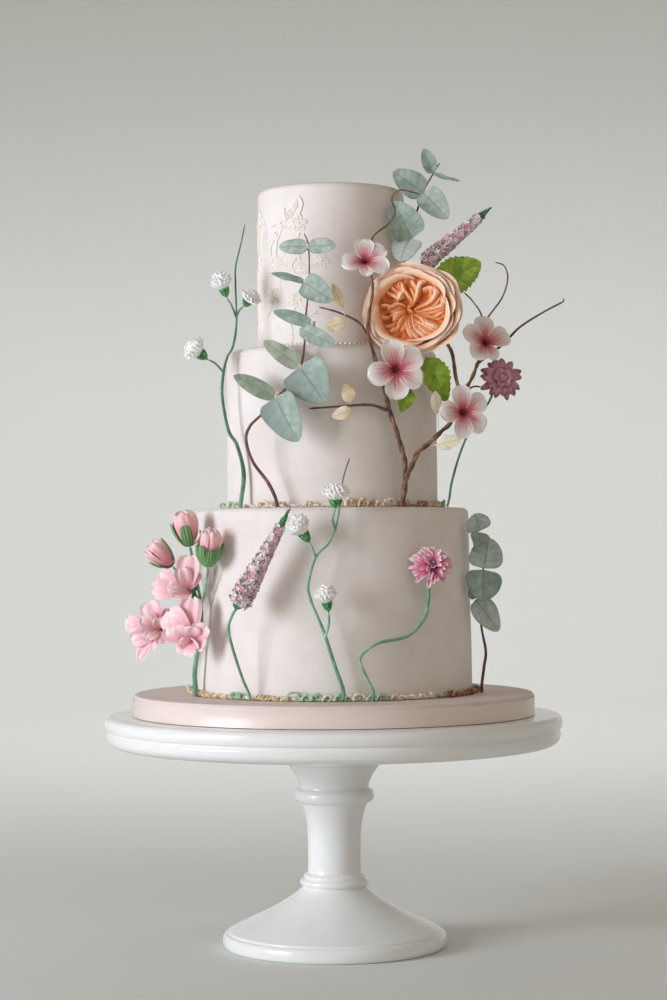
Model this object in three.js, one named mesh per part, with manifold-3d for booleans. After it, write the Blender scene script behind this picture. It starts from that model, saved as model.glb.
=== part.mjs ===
// Three-tier wedding cake on an iced round board and a turned pedestal stand, with wired sugar flowers.
// Millimetres, +Z up. The origin is the centre of the stand's underside and the cake's front faces -Y.

import * as THREE from 'three';
import { mergeVertices } from 'three/addons/utils/BufferGeometryUtils.js';
import Module from 'manifold-3d';

const wasm = await Module();
wasm.setup();

// ---------- driving dimensions ----------

const GAP = 0.3;                  // clearance between pieces that touch
const WIRE_CLEARANCE = 0.4;       // cut round a wire where it passes through a flower or a border
const WELD = 2e-3;                // points closer than this are one
const ROUND = 40;                 // facets round the cake and the stand's plate
const TURNED = 32;                // facets round the stand's pedestal
const WIRE_STEPS = 1.4;           // straight lengths of a wire for each stretch of its route

const FOOT_RADIUS = 85.4;         // bead at the foot of the stand
const PLATE_RADIUS = 173.7;
const PLATE_BOTTOM = 152.3;
const PLATE_TOP = 176.4;
const BOARD_RADIUS = 151.9;       // 12 in round board with its icing
const BOARD_TOP = 193;
const BOARD_EDGE = 1.6;           // bevel round the top of the board's icing
const RIBBON_HEIGHT = 13.5;
const RIBBON_THICKNESS = 0.6;

const BOTTOM_TIER = { foot: 105.8, shoulder: 103.7, base: BOARD_TOP, top: 332.7, edge: 4.5 };
const MIDDLE_TIER = { foot: 80.3, shoulder: 79.8, base: BOTTOM_TIER.top, top: 451.7, edge: 4.5 };
const TOP_TIER = { foot: 56.0, shoulder: 55.6, base: MIDDLE_TIER.top, top: 573.9, edge: 4.5 };

const BORDER_HEIGHT = 6;          // twisted tape laid round the foot of a tier
const BORDER_TWISTS = 16;
const BEAD_TRAIL = 2.2;           // piped beads round the foot of the top tier
const LACE_RELIEF = 0.9;          // how far the piped lace stands out from the top tier
const LACE_SUNK = 1.2;            // and how far it reaches into the wall
const LEAF_THICKNESS = 1.0;
const LEAF_STANDOFF = 2.3;        // from a wire's middle to the middle of a leaf that clasps it
const CUP_GAP = 0.7;              // from the end of a wire to the flower cup that it carries

// ---------- colours ----------

const finish = (color, roughness = 0.6, metalness = 0) => ({ color, roughness, metalness });
const PAINT = finish(0xefede8, 0.35);
const BOARD_ICING = finish(0xe3d3c5, 0.7);
const SATIN = finish(0xe8d5c8, 0.3);
const FONDANT = finish(0xe6ded6, 0.75);
const TAPE_TAN = finish(0xb59a76, 0.8);
const BARK = finish(0x6b4a3a, 0.8);
const EUCALYPTUS_WIRE = finish(0x7a4f52, 0.7);
const GREEN_WIRE = finish(0x4f8a5c, 0.7);
const SAGE = finish(0x9db5a4, 0.8);
const ROSE_LEAF = finish(0x7fa52c, 0.5);
const CREAM_LEAF = finish(0xe0d0a0, 0.6);
const BLOSSOM = finish(0xeab0b8, 0.7);
const APRICOT = finish(0xf4bf94, 0.7);
const SPIKE_PINK = finish(0xd9a8b6, 0.9);
const WHITE_SUGAR = finish(0xf6f3ee, 0.6);
const MAUVE = finish(0xa46c80, 0.8);
const SOFT_PINK = finish(0xf2b6bd, 0.35);
const MAGENTA = finish(0xd983ab, 0.6);

// ---------- places round the cake ----------

const radians = THREE.MathUtils.degToRad;

// A place at a height, by its angle from the front (towards +X) and its reach from the cake's axis.
function at([angle, height, reach]) {
  const turn = radians(angle);
  return new THREE.Vector3(reach * Math.sin(turn), -reach * Math.cos(turn), height);
}

// ---------- solids from rings of points ----------

// A closed skin through rings of equal length; each end is closed by a fan to its middle.
function skin(rings) {
  const count = rings[0].length;
  const points = rings.flat();
  const faces = [];
  for (let row = 0; row < rings.length - 1; row += 1) {
    for (let i = 0; i < count; i += 1) {
      const a = row * count + i;
      const b = row * count + (i + 1) % count;
      faces.push([a, b, b + count], [a, b + count, a + count]);
    }
  }
  for (const row of [0, rings.length - 1]) {
    const middle = rings[row].reduce((sum, p) => sum.add(p), new THREE.Vector3()).divideScalar(count);
    const hub = points.push(middle) - 1;
    for (let i = 0; i < count; i += 1) {
      const a = row * count + i;
      const b = row * count + (i + 1) % count;
      faces.push(row === 0 ? [hub, b, a] : [hub, a, b]);
    }
  }
  return closed(points, faces);
}

// Shared vertices are merged, faces without area are dropped, and the faces are turned to point out.
function closed(points, faces) {
  const geometry = new THREE.BufferGeometry().setFromPoints(points);
  geometry.setIndex(faces.flat());
  return tidy(geometry);
}

function tidy(geometry) {
  geometry.deleteAttribute('normal');
  geometry.deleteAttribute('uv');
  const merged = mergeVertices(geometry, WELD);
  const corners = merged.index.array;
  const position = merged.attributes.position;
  const kept = [];
  let volume = 0;
  const [a, b, c] = [new THREE.Vector3(), new THREE.Vector3(), new THREE.Vector3()];
  for (let i = 0; i < corners.length; i += 3) {
    const [p, q, r] = [corners[i], corners[i + 1], corners[i + 2]];
    if (p === q || q === r || r === p) continue;
    kept.push(p, q, r);
    a.fromBufferAttribute(position, p);
    b.fromBufferAttribute(position, q);
    c.fromBufferAttribute(position, r);
    volume += a.dot(b.cross(c));
  }
  merged.setIndex(volume < 0 ? kept.reverse() : kept);
  return merged;
}

// ---------- joining and cutting ----------

function toSolid(geometry) {
  const vertProperties = new Float32Array(geometry.attributes.position.array);
  const triVerts = new Uint32Array(geometry.index.array);
  return new wasm.Manifold(new wasm.Mesh({ numProp: 3, vertProperties, triVerts }));
}

function toGeometry(solid) {
  const body = solid.decompose().reduce((best, piece) => (piece.volume() > best.volume() ? piece : best));
  const mesh = body.getMesh();
  const geometry = new THREE.BufferGeometry();
  geometry.setAttribute('position', new THREE.BufferAttribute(mesh.vertProperties, 3));
  geometry.setIndex([...mesh.triVerts]);
  return tidy(geometry);
}

function join(...geometries) {
  return toGeometry(geometries.map(toSolid).reduce((sum, solid) => sum.add(solid)));
}

function carve(geometry, ...cutters) {
  return toGeometry(cutters.map(toSolid).reduce((rest, cutter) => rest.subtract(cutter), toSolid(geometry)));
}

// ---------- shapes ----------

// A solid turned about the cake's axis, from [radius, height] points that start and end on the axis.
function turned(profile, facets) {
  const outline = profile.map(([radius, height]) => new THREE.Vector2(radius, height));
  return tidy(new THREE.LatheGeometry(outline, facets).rotateX(Math.PI / 2));
}

// A round wire along a route of places, thinning from its first half thickness to its last.
function wire(route, thick, thin = thick, sides = 5, spare = 0) {
  const curve = new THREE.CatmullRomCurve3(route.map(at), false, 'centripetal');
  const steps = Math.max(2, Math.round((route.length - 1) * WIRE_STEPS));
  const frames = curve.computeFrenetFrames(steps, false);
  const rings = [];
  for (let step = 0; step <= steps; step += 1) {
    const share = step / steps;
    const radius = THREE.MathUtils.lerp(thick, thin, share) + spare;
    const centre = curve.getPointAt(share);
    const end = spare * ((step === steps) - (step === 0));
    centre.addScaledVector(frames.tangents[step], end);
    rings.push(Array.from({ length: sides }, (_, i) => {
      const turn = 2 * Math.PI * i / sides;
      return centre.clone()
        .addScaledVector(frames.normals[step], radius * Math.cos(turn))
        .addScaledVector(frames.binormals[step], radius * Math.sin(turn));
    }));
  }
  return skin(rings);
}

// The sections of a leaf from its base to its tip: thin lenses, folded along the midrib. The leaf looks
// towards face (degrees from the front, or straight out from the cake); tilt turns it about its length,
// fold raises its edges, stalk is the bare share of its length, and off moves it forward, clear of the
// wire that carries it. back starts it that much before its base.
function blade(base, tip, width, shape = {}) {
  const { tilt = 0, fold = 0, rows = 5, stalk = 0, off = 0, back = 0 } = shape;
  const face = radians(shape.face ?? (base[0] + tip[0]) / 2);
  const outward = new THREE.Vector3(Math.sin(face), -Math.cos(face), 0);
  const [from, to] = [at(base).addScaledVector(outward, off), at(tip).addScaledVector(outward, off)];
  const along = to.clone().sub(from).normalize();
  from.addScaledVector(along, -back);
  const across = along.clone().cross(outward).normalize().applyAxisAngle(along, radians(tilt));
  const normal = across.clone().cross(along).normalize();
  return skin(Array.from({ length: rows + 1 }, (_, row) => {
    const share = row / rows;
    const atTip = row === rows;
    const leaf = Math.max(0, (share - stalk) / (1 - stalk));
    const narrowest = atTip ? 0.4 : 1;
    const half = Math.max(narrowest, width / 2 * Math.sin(Math.PI * leaf ** 0.72) ** 0.7);
    const middle = from.clone().lerp(to, share);
    const edge = fold * (half / (width / 2)) ** 2;
    const core = LEAF_THICKNESS / 2 * (atTip ? 0.5 : 1);
    const place = (side, lift) => middle.clone().addScaledVector(across, side).addScaledVector(normal, lift);
    return [place(-half, edge), place(0, core), place(half, edge), place(0, -core)];
  }));
}

// Two opposite leaves in one piece: their bases reach past the joint and hold together there.
function leafPair(...leaves) {
  const past = { back: 1.5 };
  return join(...leaves.map(([base, tip, width, shape]) => blade(base, tip, width, { ...shape, ...past })));
}

// A flower made facing +Z: spokes round it and a profile of [share of the radius, depth] from its
// front middle round the rim to its back middle. outline and wave shape the rim's lobes and ruffles.
function bloom({ spokes, profile, outline, wave = () => 0 }) {
  return skin(profile.map(([share, depth]) => Array.from({ length: spokes }, (_, i) => {
    const turn = 2 * Math.PI * i / spokes;
    const radius = share * outline(turn, share);
    return new THREE.Vector3(radius * Math.cos(turn), radius * Math.sin(turn), depth + wave(turn, share));
  })));
}

// The frame of a flower that sits at a place and faces out: turn degrees round from the front and
// lift degrees up, with roll about its own axis.
function facing(place, turn, lift = 0, roll = 0) {
  const [round, up] = [radians(turn), radians(lift)];
  const level = new THREE.Vector3(Math.sin(round), -Math.cos(round), 0);
  const out = level.clone().multiplyScalar(Math.cos(up)).add(new THREE.Vector3(0, 0, Math.sin(up)));
  const right = new THREE.Vector3(Math.cos(round), Math.sin(round), 0);
  const above = out.clone().cross(right);
  const frame = new THREE.Matrix4().makeBasis(right, above, out);
  frame.multiply(new THREE.Matrix4().makeRotationZ(radians(roll)));
  return frame.setPosition(at(place));
}

// The frame whose +Z runs from one place towards another.
function pointing(from, to) {
  const start = at(from);
  const direction = at(to).sub(start).normalize();
  const spin = new THREE.Quaternion().setFromUnitVectors(new THREE.Vector3(0, 0, 1), direction);
  return new THREE.Matrix4().compose(start, spin, new THREE.Vector3(1, 1, 1));
}

// ---------- the group ----------

const cake = new THREE.Group();
cake.name = 'tiered_wedding_cake';

// Adds a mesh; a frame places it, and cutters in the cake's frame are taken out of it.
function add(name, geometry, { color, roughness, metalness }, frame = new THREE.Matrix4(), cutters = []) {
  const inverse = frame.clone().invert();
  const local = cutters.map((cutter) => cutter.clone().applyMatrix4(inverse));
  const shape = local.length ? carve(geometry, ...local) : geometry;
  const mesh = new THREE.Mesh(shape, new THREE.MeshStandardMaterial({ color, roughness, metalness }));
  mesh.name = name;
  frame.decompose(mesh.position, mesh.quaternion, mesh.scale);
  cake.add(mesh);
  return mesh;
}

// ---------- wires and twigs ----------

// Each sprig is a list of wires: a route, then its half thickness at the start and at the end.
const SPRIGS = {
  blossom_branch: [
    [[[33.5, 333.3, 93], [33.5, 341, 93.5], [34.5, 358, 94.5]], 2.6, 2.3],
    [[[34.5, 355, 94.5], [32.5, 376.5, 93.5], [27.5, 401.5, 91.5], [24.5, 420.5, 91], [20.5, 441, 88.5],
      [18, 459.5, 86], [19, 472.5, 84], [21, 488, 84], [21, 500, 81], [20.5, 507, 78.5]], 2.0, 1.1],
    [[[26, 403, 91.5], [18, 406.5, 91.5], [7.5, 406, 90], [-1, 405, 90], [-10.5, 404, 92.5]], 1.3, 0.7],
    [[[18, 458, 86], [13, 467.5, 84.5], [3, 474.5, 82.5], [-6.5, 478.5, 80.5]], 1.0, 0.6],
    [[[20.5, 505, 79], [21.5, 516, 75], [24.5, 531, 74.5], [33, 540.5, 76.5], [37.5, 550, 77.5],
      [37, 560, 74.5], [42.5, 567, 75.5], [53, 565, 82.5]], 0.8, 0.5],
  ],
  side_branch: [
    [[[36, 365.5, 100.5], [37.5, 372.5, 101.5], [42.5, 379, 104.5], [47.5, 388, 108.5], [51, 394, 111.5],
      [55.5, 406, 113.5], [58.5, 418, 115], [61.5, 428.5, 118], [64.5, 441, 120.5]], 2.1, 1.5],
    [[[64, 439, 120], [68.5, 452.5, 135.5], [72, 466.5, 147.5], [75.5, 479, 165.5], [77, 485.5, 178],
      [77.1, 488.5, 178.2]], 1.2, 0.6],
    [[[59, 418, 115.5], [61.5, 421.5, 119], [64.5, 421.5, 123]], 0.8, 0.6],
    [[[64.4, 440, 120.3], [67.5, 456, 119.5], [69, 474, 120], [69, 486.5, 112.5],
      [69, 493.5, 105.5]], 0.9, 0.5],
    [[[68, 463, 118.5], [69.5, 473, 123.5], [72.5, 489, 133.5], [74, 503.5, 137], [74.5, 513, 134],
      [74, 516, 127]], 0.8, 0.5],
    [[[57, 411.5, 114], [59, 428, 107], [60.5, 449, 101.5], [57, 461, 93]], 1.5, 1.3],
  ],
  astrantia_stem: [
    [[[64, 333.3, 95], [63.5, 339, 97], [62.5, 351.5, 100], [62, 370.5, 106.5], [63, 388, 113.5],
      [64.5, 401.5, 120.5], [66.5, 408.5, 125.5], [68.3, 417.5, 129]], 0.9, 0.8],
  ],
  upper_eucalyptus_stem: [
    [[[56, 511, 64.5], [58.5, 535.5, 69], [62.5, 557, 73.5], [64.5, 568, 76], [68, 582.5, 82.5],
      [70, 591.5, 87.5]], 1.1, 0.5],
  ],
  left_eucalyptus_stem: [
    [[[-26, 333.3, 91.5], [-27, 340.5, 92], [-30, 351.5, 94.5], [-35, 366.5, 101], [-36.5, 382, 105],
      [-35, 392, 103.5], [-30.5, 400.5, 100], [-24.5, 412.5, 96.5], [-20, 420.5, 93.5], [-14.5, 434.5, 90.5],
      [-13, 450.5, 88], [-13, 465, 86], [-11.5, 496, 81.5], [-12, 522.5, 79], [-14.5, 533, 78.5]], 1.4, 0.5],
  ],
  left_spray_stem: [
    [[[-49.5, 333.3, 89.5], [-50, 358, 85.5], [-53.5, 379, 87.5], [-57, 390.5, 91.5], [-60, 415.5, 94],
      [-61, 433.5, 92], [-60.5, 445.5, 89], [-59, 453.5, 85.5], [-59, 471, 82.5], [-60.5, 499.5, 82],
      [-61.5, 513.5, 81], [-61.5, 529, 77], [-61.5, 545.5, 73]], 1.7, 0.5],
    [[[-59.3, 475, 82.4], [-60.5, 484, 85.5], [-61.5, 489.5, 88.5]], 0.8, 0.7],
    [[[-59.3, 475, 82.4], [-58, 480.5, 80.5], [-56, 483, 78.5]], 0.8, 0.7],
    [[[-61, 434, 92], [-62, 440.5, 98], [-63, 443.5, 103.5]], 0.8, 0.7],
  ],
  center_spray_stem: [
    [[[3, 193.6, 112], [3.5, 201, 112], [0, 222, 114], [-3.5, 244, 115], [-8, 267, 117], [-8.5, 278.5, 117.5],
      [-6, 296.5, 116.5], [-1.5, 306.5, 116], [1, 317, 114.5], [2.5, 331, 111], [4.5, 352, 106],
      [5.5, 367.5, 103]], 1.6, 0.5],
    [[[1, 316, 114.5], [0, 324, 116.5], [1, 331.5, 117]], 0.9, 0.8],
    [[[-6, 296.5, 116.5], [-7, 302.5, 117.5], [-8, 307, 118]], 0.9, 0.8],
    [[[-3, 239, 115], [-1.5, 248.5, 118], [-1.5, 257.5, 120]], 0.9, 0.8],
  ],
  low_spike_stem: [
    [[[-32, 193.6, 113.5], [-32.5, 198.5, 113.5], [-33.5, 210, 119], [-35, 234.5, 127.5], [-35, 247, 130.5],
      [-33, 257, 131], [-31.3, 260.5, 130.8]], 1.0, 1.0],
  ],
  cornflower_stem: [
    [[[14, 193.6, 114.5], [14.5, 200.5, 114.5], [12.5, 208.5, 114.5], [10, 219.5, 114.5], [10, 226.5, 115],
      [16, 235, 116.5], [27, 239.5, 116], [33.5, 251.5, 118], [35.5, 265, 118], [36, 279, 117.5]], 1.0, 1.1],
  ],
  pink_spray_stem: [
    [[[-66, 193.6, 112.5], [-65.8, 200, 112.5], [-65, 211.5, 113.5], [-63.5, 227, 112.5], [-61, 246.5, 111.5],
      [-60, 260.5, 112.5], [-61, 280, 115], [-61.5, 296, 118], [-62, 305, 119.5]], 2.0, 1.1],
    [[[-60, 260, 112.5], [-56.5, 272.5, 113], [-53, 285, 115], [-52, 290, 116.5]], 1.1, 0.9],
    [[[-61, 278, 114.5], [-66, 281, 117], [-70, 285, 122], [-70.3, 290.5, 127]], 1.0, 0.9],
    [[[-60.1, 258, 112.3], [-61.5, 267, 114.5], [-62.5, 275.5, 117.5]], 1.0, 0.9],
    [[[-64, 222, 113], [-65, 234, 118.5], [-66.5, 241, 125]], 1.2, 1.0],
  ],
  low_eucalyptus_stem: [
    [[[78, 193.6, 114], [78, 199, 114], [77.5, 213.5, 116], [77, 225, 117.5], [76, 245, 114.5],
      [75, 261, 116.5], [74, 286.5, 117], [73.5, 299.5, 115], [72.5, 314.5, 113.5]], 1.3, 0.6],
  ],
};

const SPRIG_FINISH = {
  blossom_branch: BARK,
  side_branch: BARK,
  upper_eucalyptus_stem: EUCALYPTUS_WIRE,
  left_eucalyptus_stem: EUCALYPTUS_WIRE,
  low_eucalyptus_stem: EUCALYPTUS_WIRE,
};

// A sprig's wires as one solid; spare grows them, for the clearance round them.
function sprig(name, spare = 0) {
  const sides = (thick) => (thick > 1 ? 5 : 4);
  const parts = SPRIGS[name].map(([route, thick, thin]) => wire(route, thick, thin, sides(thick), spare));
  return parts.length > 1 ? join(...parts) : parts[0];
}

const around = (name) => sprig(name, WIRE_CLEARANCE);

// ---------- stand ----------

function pedestal() {
  return turned([
    [0, 0], [84, 0], [FOOT_RADIUS, 3], [FOOT_RADIUS, 8], [83, 11.4], [79.6, 13.4], [60, 22.5], [46, 29.5],
    [31, 39], [24.6, 44], [25.8, 51.6], [21.2, 55.6], [20.2, 60], [20.2, 85], [21.4, 97], [25, 107],
    [30, 111.2], [30.7, 115], [29.4, 118.6], [26.4, 121], [26.8, 125], [35.5, 139.5],
    [50, PLATE_BOTTOM - GAP], [0, PLATE_BOTTOM - GAP],
  ], TURNED);
}

function plate() {
  return turned([
    [0, PLATE_BOTTOM], [160, PLATE_BOTTOM], [168, 154.2], [171.8, 157.5], [172.4, 163.6], [171, 164.8],
    [172.6, 166.2], [PLATE_RADIUS, 170], [PLATE_RADIUS, 173.6], [171.4, PLATE_TOP], [0, PLATE_TOP],
  ], ROUND);
}

add('stand_pedestal', pedestal(), PAINT);
add('stand_plate', plate(), PAINT);

// ---------- board ----------

const BOARD_BOTTOM = PLATE_TOP + GAP;

function board() {
  return turned([
    [0, BOARD_BOTTOM], [BOARD_RADIUS, BOARD_BOTTOM], [BOARD_RADIUS, BOARD_TOP - BOARD_EDGE],
    [BOARD_RADIUS - BOARD_EDGE, BOARD_TOP], [0, BOARD_TOP],
  ], ROUND);
}

function ribbon() {
  const inner = BOARD_RADIUS + GAP;
  const outer = inner + RIBBON_THICKNESS;
  const low = BOARD_BOTTOM + 0.2;
  const high = low + RIBBON_HEIGHT;
  return turned([[inner, low], [outer, low], [outer, high], [inner, high], [inner, low]], ROUND);
}

add('cake_board', board(), BOARD_ICING);
add('board_ribbon', ribbon(), SATIN);

// ---------- tiers ----------

// A tier's outline: foot and shoulder radii, a rounded top edge, and a trail of piping round its foot.
function tierProfile({ foot, shoulder, base, top, edge }, trail = 0) {
  const floor = base + GAP;
  const piping = [[foot + trail, floor], [foot + trail, floor + trail], [foot, floor + 1.6 * trail]];
  const round = 0.3 * edge;
  return [
    [0, floor], ...(trail ? piping : [[foot, floor]]), [shoulder, top - edge],
    [shoulder - round, top - round], [shoulder - edge, top], [0, top],
  ];
}

// One piped flower of the lace: a low star of petals that faces out from the tier's wall.
function laceFlower(angle, height, radius) {
  const petals = 5;
  const flower = bloom({
    spokes: petals * 2,
    outline: (turn) => radius * (0.78 + 0.22 * Math.cos(petals * turn)),
    profile: [[0, LACE_RELIEF], [1, LACE_RELIEF * 0.6], [1, -LACE_SUNK], [0, -LACE_SUNK]],
  });
  return flower.applyMatrix4(facing([angle, height, TOP_TIER.foot], angle, 0, 7 * angle));
}

// One piped line of the lace, laid half into the wall.
function laceLine(route) {
  const sides = 4;
  return wire(route.map(([angle, height]) => [angle, height, TOP_TIER.foot + 0.1]), 0.8, 0.7, sides);
}

// Each flower's angle from the front, height and radius; each line's angles and heights.
const LACE_FLOWERS = [
  [-14, 546, 5.5], [-30, 538, 4.6], [-20, 513, 5], [-37, 495, 5.5], [-15, 487, 4.5], [-56, 522, 5.4],
  [-78, 488, 5.4],
];
const LACE_LINES = [
  [[-17, 553], [-22, 561], [-20, 567]], [[-12, 540], [-17, 530], [-19, 519]],
  [[-41, 489], [-45, 478], [-39, 466]], [[-60, 516], [-70, 505], [-75, 494]],
  [[-51, 527], [-42, 537], [-35, 539]],
];

function topTier() {
  const body = turned(tierProfile(TOP_TIER, BEAD_TRAIL), ROUND);
  const flowers = LACE_FLOWERS.map((flower) => laceFlower(...flower));
  const lines = LACE_LINES.map(laceLine);
  return join(body, ...flowers, ...lines);
}

add('tier_bottom', turned(tierProfile(BOTTOM_TIER), ROUND), FONDANT);
add('tier_middle', turned(tierProfile(MIDDLE_TIER), ROUND), FONDANT);
add('tier_top', topTier(), FONDANT);

// ---------- borders of twisted tape ----------

// A ring of twisted tape round a tier's foot: an oval section that turns as it goes round.
function border({ foot, base }) {
  const steps = 60;
  const sides = 4;
  const half = BORDER_HEIGHT / 2;
  const flat = 0.72 * half;
  const reach = foot + GAP + half + 0.2;
  const rings = Array.from({ length: steps }, (_, step) => {
    const turn = 2 * Math.PI * step / steps;
    const slant = BORDER_TWISTS * turn / 2;
    return Array.from({ length: sides }, (_, i) => {
      const place = slant + 2 * Math.PI * i / sides;
      const size = i % 2 ? flat : half;
      const outward = reach + size * Math.cos(place);
      return new THREE.Vector3(outward * Math.sin(turn), -outward * Math.cos(turn),
        base + GAP + half + size * Math.sin(place));
    });
  });
  const faces = [];
  for (let step = 0; step < steps; step += 1) {
    for (let i = 0; i < sides; i += 1) {
      const [here, next] = [step * sides, ((step + 1) % steps) * sides];
      const [a, b] = [i, (i + 1) % sides];
      faces.push([here + a, here + b, next + b], [here + a, next + b, next + a]);
    }
  }
  return closed(rings.flat(), faces);
}

const LOW_STEMS = [
  'center_spray_stem', 'low_spike_stem', 'cornflower_stem', 'pink_spray_stem', 'low_eucalyptus_stem',
];
const HIGH_STEMS = ['blossom_branch', 'astrantia_stem', 'left_eucalyptus_stem', 'left_spray_stem'];
const NO_FRAME = new THREE.Matrix4();

add('border_bottom', border(BOTTOM_TIER), TAPE_TAN, NO_FRAME, LOW_STEMS.map(around));
add('border_middle', border(MIDDLE_TIER), TAPE_TAN, NO_FRAME, HIGH_STEMS.map(around));

for (const name of Object.keys(SPRIGS)) {
  add(name, sprig(name), SPRIG_FINISH[name] ?? GREEN_WIRE);
}

// ---------- eucalyptus leaves ----------

const CLASP = { off: LEAF_STANDOFF };

// Each pair: a leaf's base, tip, width and shape, then its partner's.
const EUCALYPTUS_LEAVES = {
  left_eucalyptus_leaves_1: [
    [[-12, 522.5, 79], [-27, 523, 82], 12, { ...CLASP, tilt: 10, rows: 4 }],
    [[-12, 522.5, 79], [2.5, 523, 82], 12, { ...CLASP, tilt: -10, rows: 4 }],
  ],
  left_eucalyptus_leaves_2: [
    [[-13, 496.5, 83.5], [-29.5, 503.5, 87], 6.5, { ...CLASP, tilt: 35, rows: 4 }],
    [[-14, 496.5, 83.5], [1, 482, 87.5], 19, { ...CLASP, fold: 3 }],
  ],
  left_eucalyptus_leaves_3: [
    [[-9, 465.5, 88], [-27.5, 475.5, 89.5], 10, { ...CLASP, tilt: 15 }],
    [[-15, 462, 88], [2, 449.5, 91.5], 12.5, { ...CLASP, fold: 1 }],
  ],
  left_eucalyptus_leaves_4: [
    [[-14.5, 434.5, 90.5], [-31.5, 454, 93], 13, { ...CLASP, tilt: 20 }],
    [[-14.5, 434.5, 90.5], [-3, 408.5, 94], 34, { ...CLASP, fold: 4 }],
  ],
  left_eucalyptus_leaves_5: [
    [[-24.5, 412.5, 96.5], [-44, 429.5, 101], 13, { ...CLASP, tilt: 20 }],
    [[-24.5, 412.5, 96.5], [-14, 380, 98], 28, { ...CLASP, fold: 4 }],
  ],
  upper_eucalyptus_leaves_1: [
    [[68, 583, 82.5], [64.5, 601, 77], 11, { ...CLASP, face: 0, fold: 2, rows: 4 }],
    [[68, 583, 82.5], [74, 577.5, 101], 3.5, { ...CLASP, face: 0, tilt: 40, rows: 3 }],
  ],
  upper_eucalyptus_leaves_2: [
    [[64.5, 568, 76.5], [53, 583.5, 58.5], 20, { off: 3.6, face: 0, fold: 2 }],
    [[64.5, 568, 76.5], [65, 547.5, 96], 20, { off: 3.4, face: 0, fold: 3 }],
  ],
  upper_eucalyptus_leaves_3: [
    [[59.5, 533.5, 70], [51, 561, 60], 26, { off: 2.8, face: 0, fold: 3 }],
    [[59.5, 533.5, 70], [51.5, 515.5, 67.5], 25, { off: 2.8, face: 0, fold: 1 }],
  ],
  low_eucalyptus_leaves_1: [
    [[71, 315, 115], [68, 328, 113.5], 20, { ...CLASP, face: 15, fold: 1 }],
    [[71, 314, 115], [67, 300, 118], 15, { ...CLASP, face: 15, fold: 1 }],
  ],
  low_eucalyptus_leaves_2: [
    [[73.5, 287, 116.5], [72.5, 310, 121.5], 27, { off: 2.8, face: 15, fold: 1 }],
    [[73.5, 286, 116.5], [70.5, 263, 117.5], 29, { off: 2.8, face: 15, fold: 1 }],
  ],
  low_eucalyptus_leaves_3: [
    [[73.7, 264, 110.5], [75, 240, 127], 19, { off: 2.8, face: 15, fold: 1 }],
    [[73.7, 265, 110.5], [72, 273, 106.5], 9, { off: 2.8, face: 15 }],
  ],
};
for (const [name, leaves] of Object.entries(EUCALYPTUS_LEAVES)) {
  add(name, leafPair(...leaves), SAGE);
}

// ---------- rose leaves and cream leaves ----------

const ROSE_LEAVES = {
  rose_leaf_1: [[58, 497.5, 92], [65.5, 514, 122], 27, { face: 10, fold: 3, rows: 6 }],
  rose_leaf_2: [[47.5, 443, 93.5], [55, 410.5, 104], 21, { face: 20, fold: 3, rows: 6 }],
  rose_leaf_3: [[33.5, 421, 99], [30, 401, 100], 15, { fold: 2 }],
};
for (const [name, shape] of Object.entries(ROSE_LEAVES)) {
  add(name, blade(...shape), ROSE_LEAF);
}

const CREAM_PAIRS = {
  cream_leaves_1: [
    [[6.5, 471.5, 86.5], [0.5, 495, 85.5], 7.5, { stalk: 0.2, rows: 4 }],
    [[6.5, 471.5, 86.5], [-2, 465.5, 87.5], 11.5, { stalk: 0.1, rows: 4 }],
  ],
  cream_leaves_2: [
    [[8.5, 407, 93], [6, 421.5, 92.5], 9, { stalk: 0.1, rows: 4 }],
    [[8.5, 407, 93], [0.5, 400.5, 94], 9, { stalk: 0.1, rows: 4 }],
  ],
};
for (const [name, leaves] of Object.entries(CREAM_PAIRS)) {
  add(name, leafPair(...leaves), CREAM_LEAF);
}
add('cream_leaf_3', blade([45.5, 388, 109], [45, 417.5, 106.5], 9, { face: 20, stalk: 0.45 }), CREAM_LEAF);
add('cream_leaf_4', blade([43, 377, 106], [50.5, 382, 122.5], 11, { face: 20, stalk: 0.2 }), CREAM_LEAF);

// ---------- five-petalled blossoms ----------

// Five rounded petals that cup a little and narrow to a short neck behind.
function blossom(width) {
  const petals = 5;
  const radius = width / 2;
  const cleft = (turn) => 0.42 * (1 - Math.abs(Math.cos(petals * turn / 2))) ** 1.2;
  return bloom({
    spokes: petals * 4,
    outline: (turn, share) => radius * (1 - share * cleft(turn)),
    profile: [[0, -1], [0.6, 2], [1, 2.2], [0.45, -1.2], [0.12, -4.5], [0, -5]],
  });
}

// Each blossom's width and frame.
const BLOSSOMS = {
  blossom_1: [36, facing([16.5, 511.5, 87], 5, 25, 100)],
  blossom_2: [44.5, facing([25.5, 431.5, 107.5], 12, 5, 104)],
  blossom_3: [40, facing([51.5, 401.5, 122.5], 20, 5, 30)],
  blossom_4: [41, facing([61.5, 453.5, 129], 25, 20, 90)],
};

const twigGap = ['blossom_branch', 'side_branch'].map(around);
for (const [name, [width, frame]] of Object.entries(BLOSSOMS)) {
  add(name, blossom(width), BLOSSOM, frame, twigGap);
}

// ---------- garden rose ----------

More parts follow.
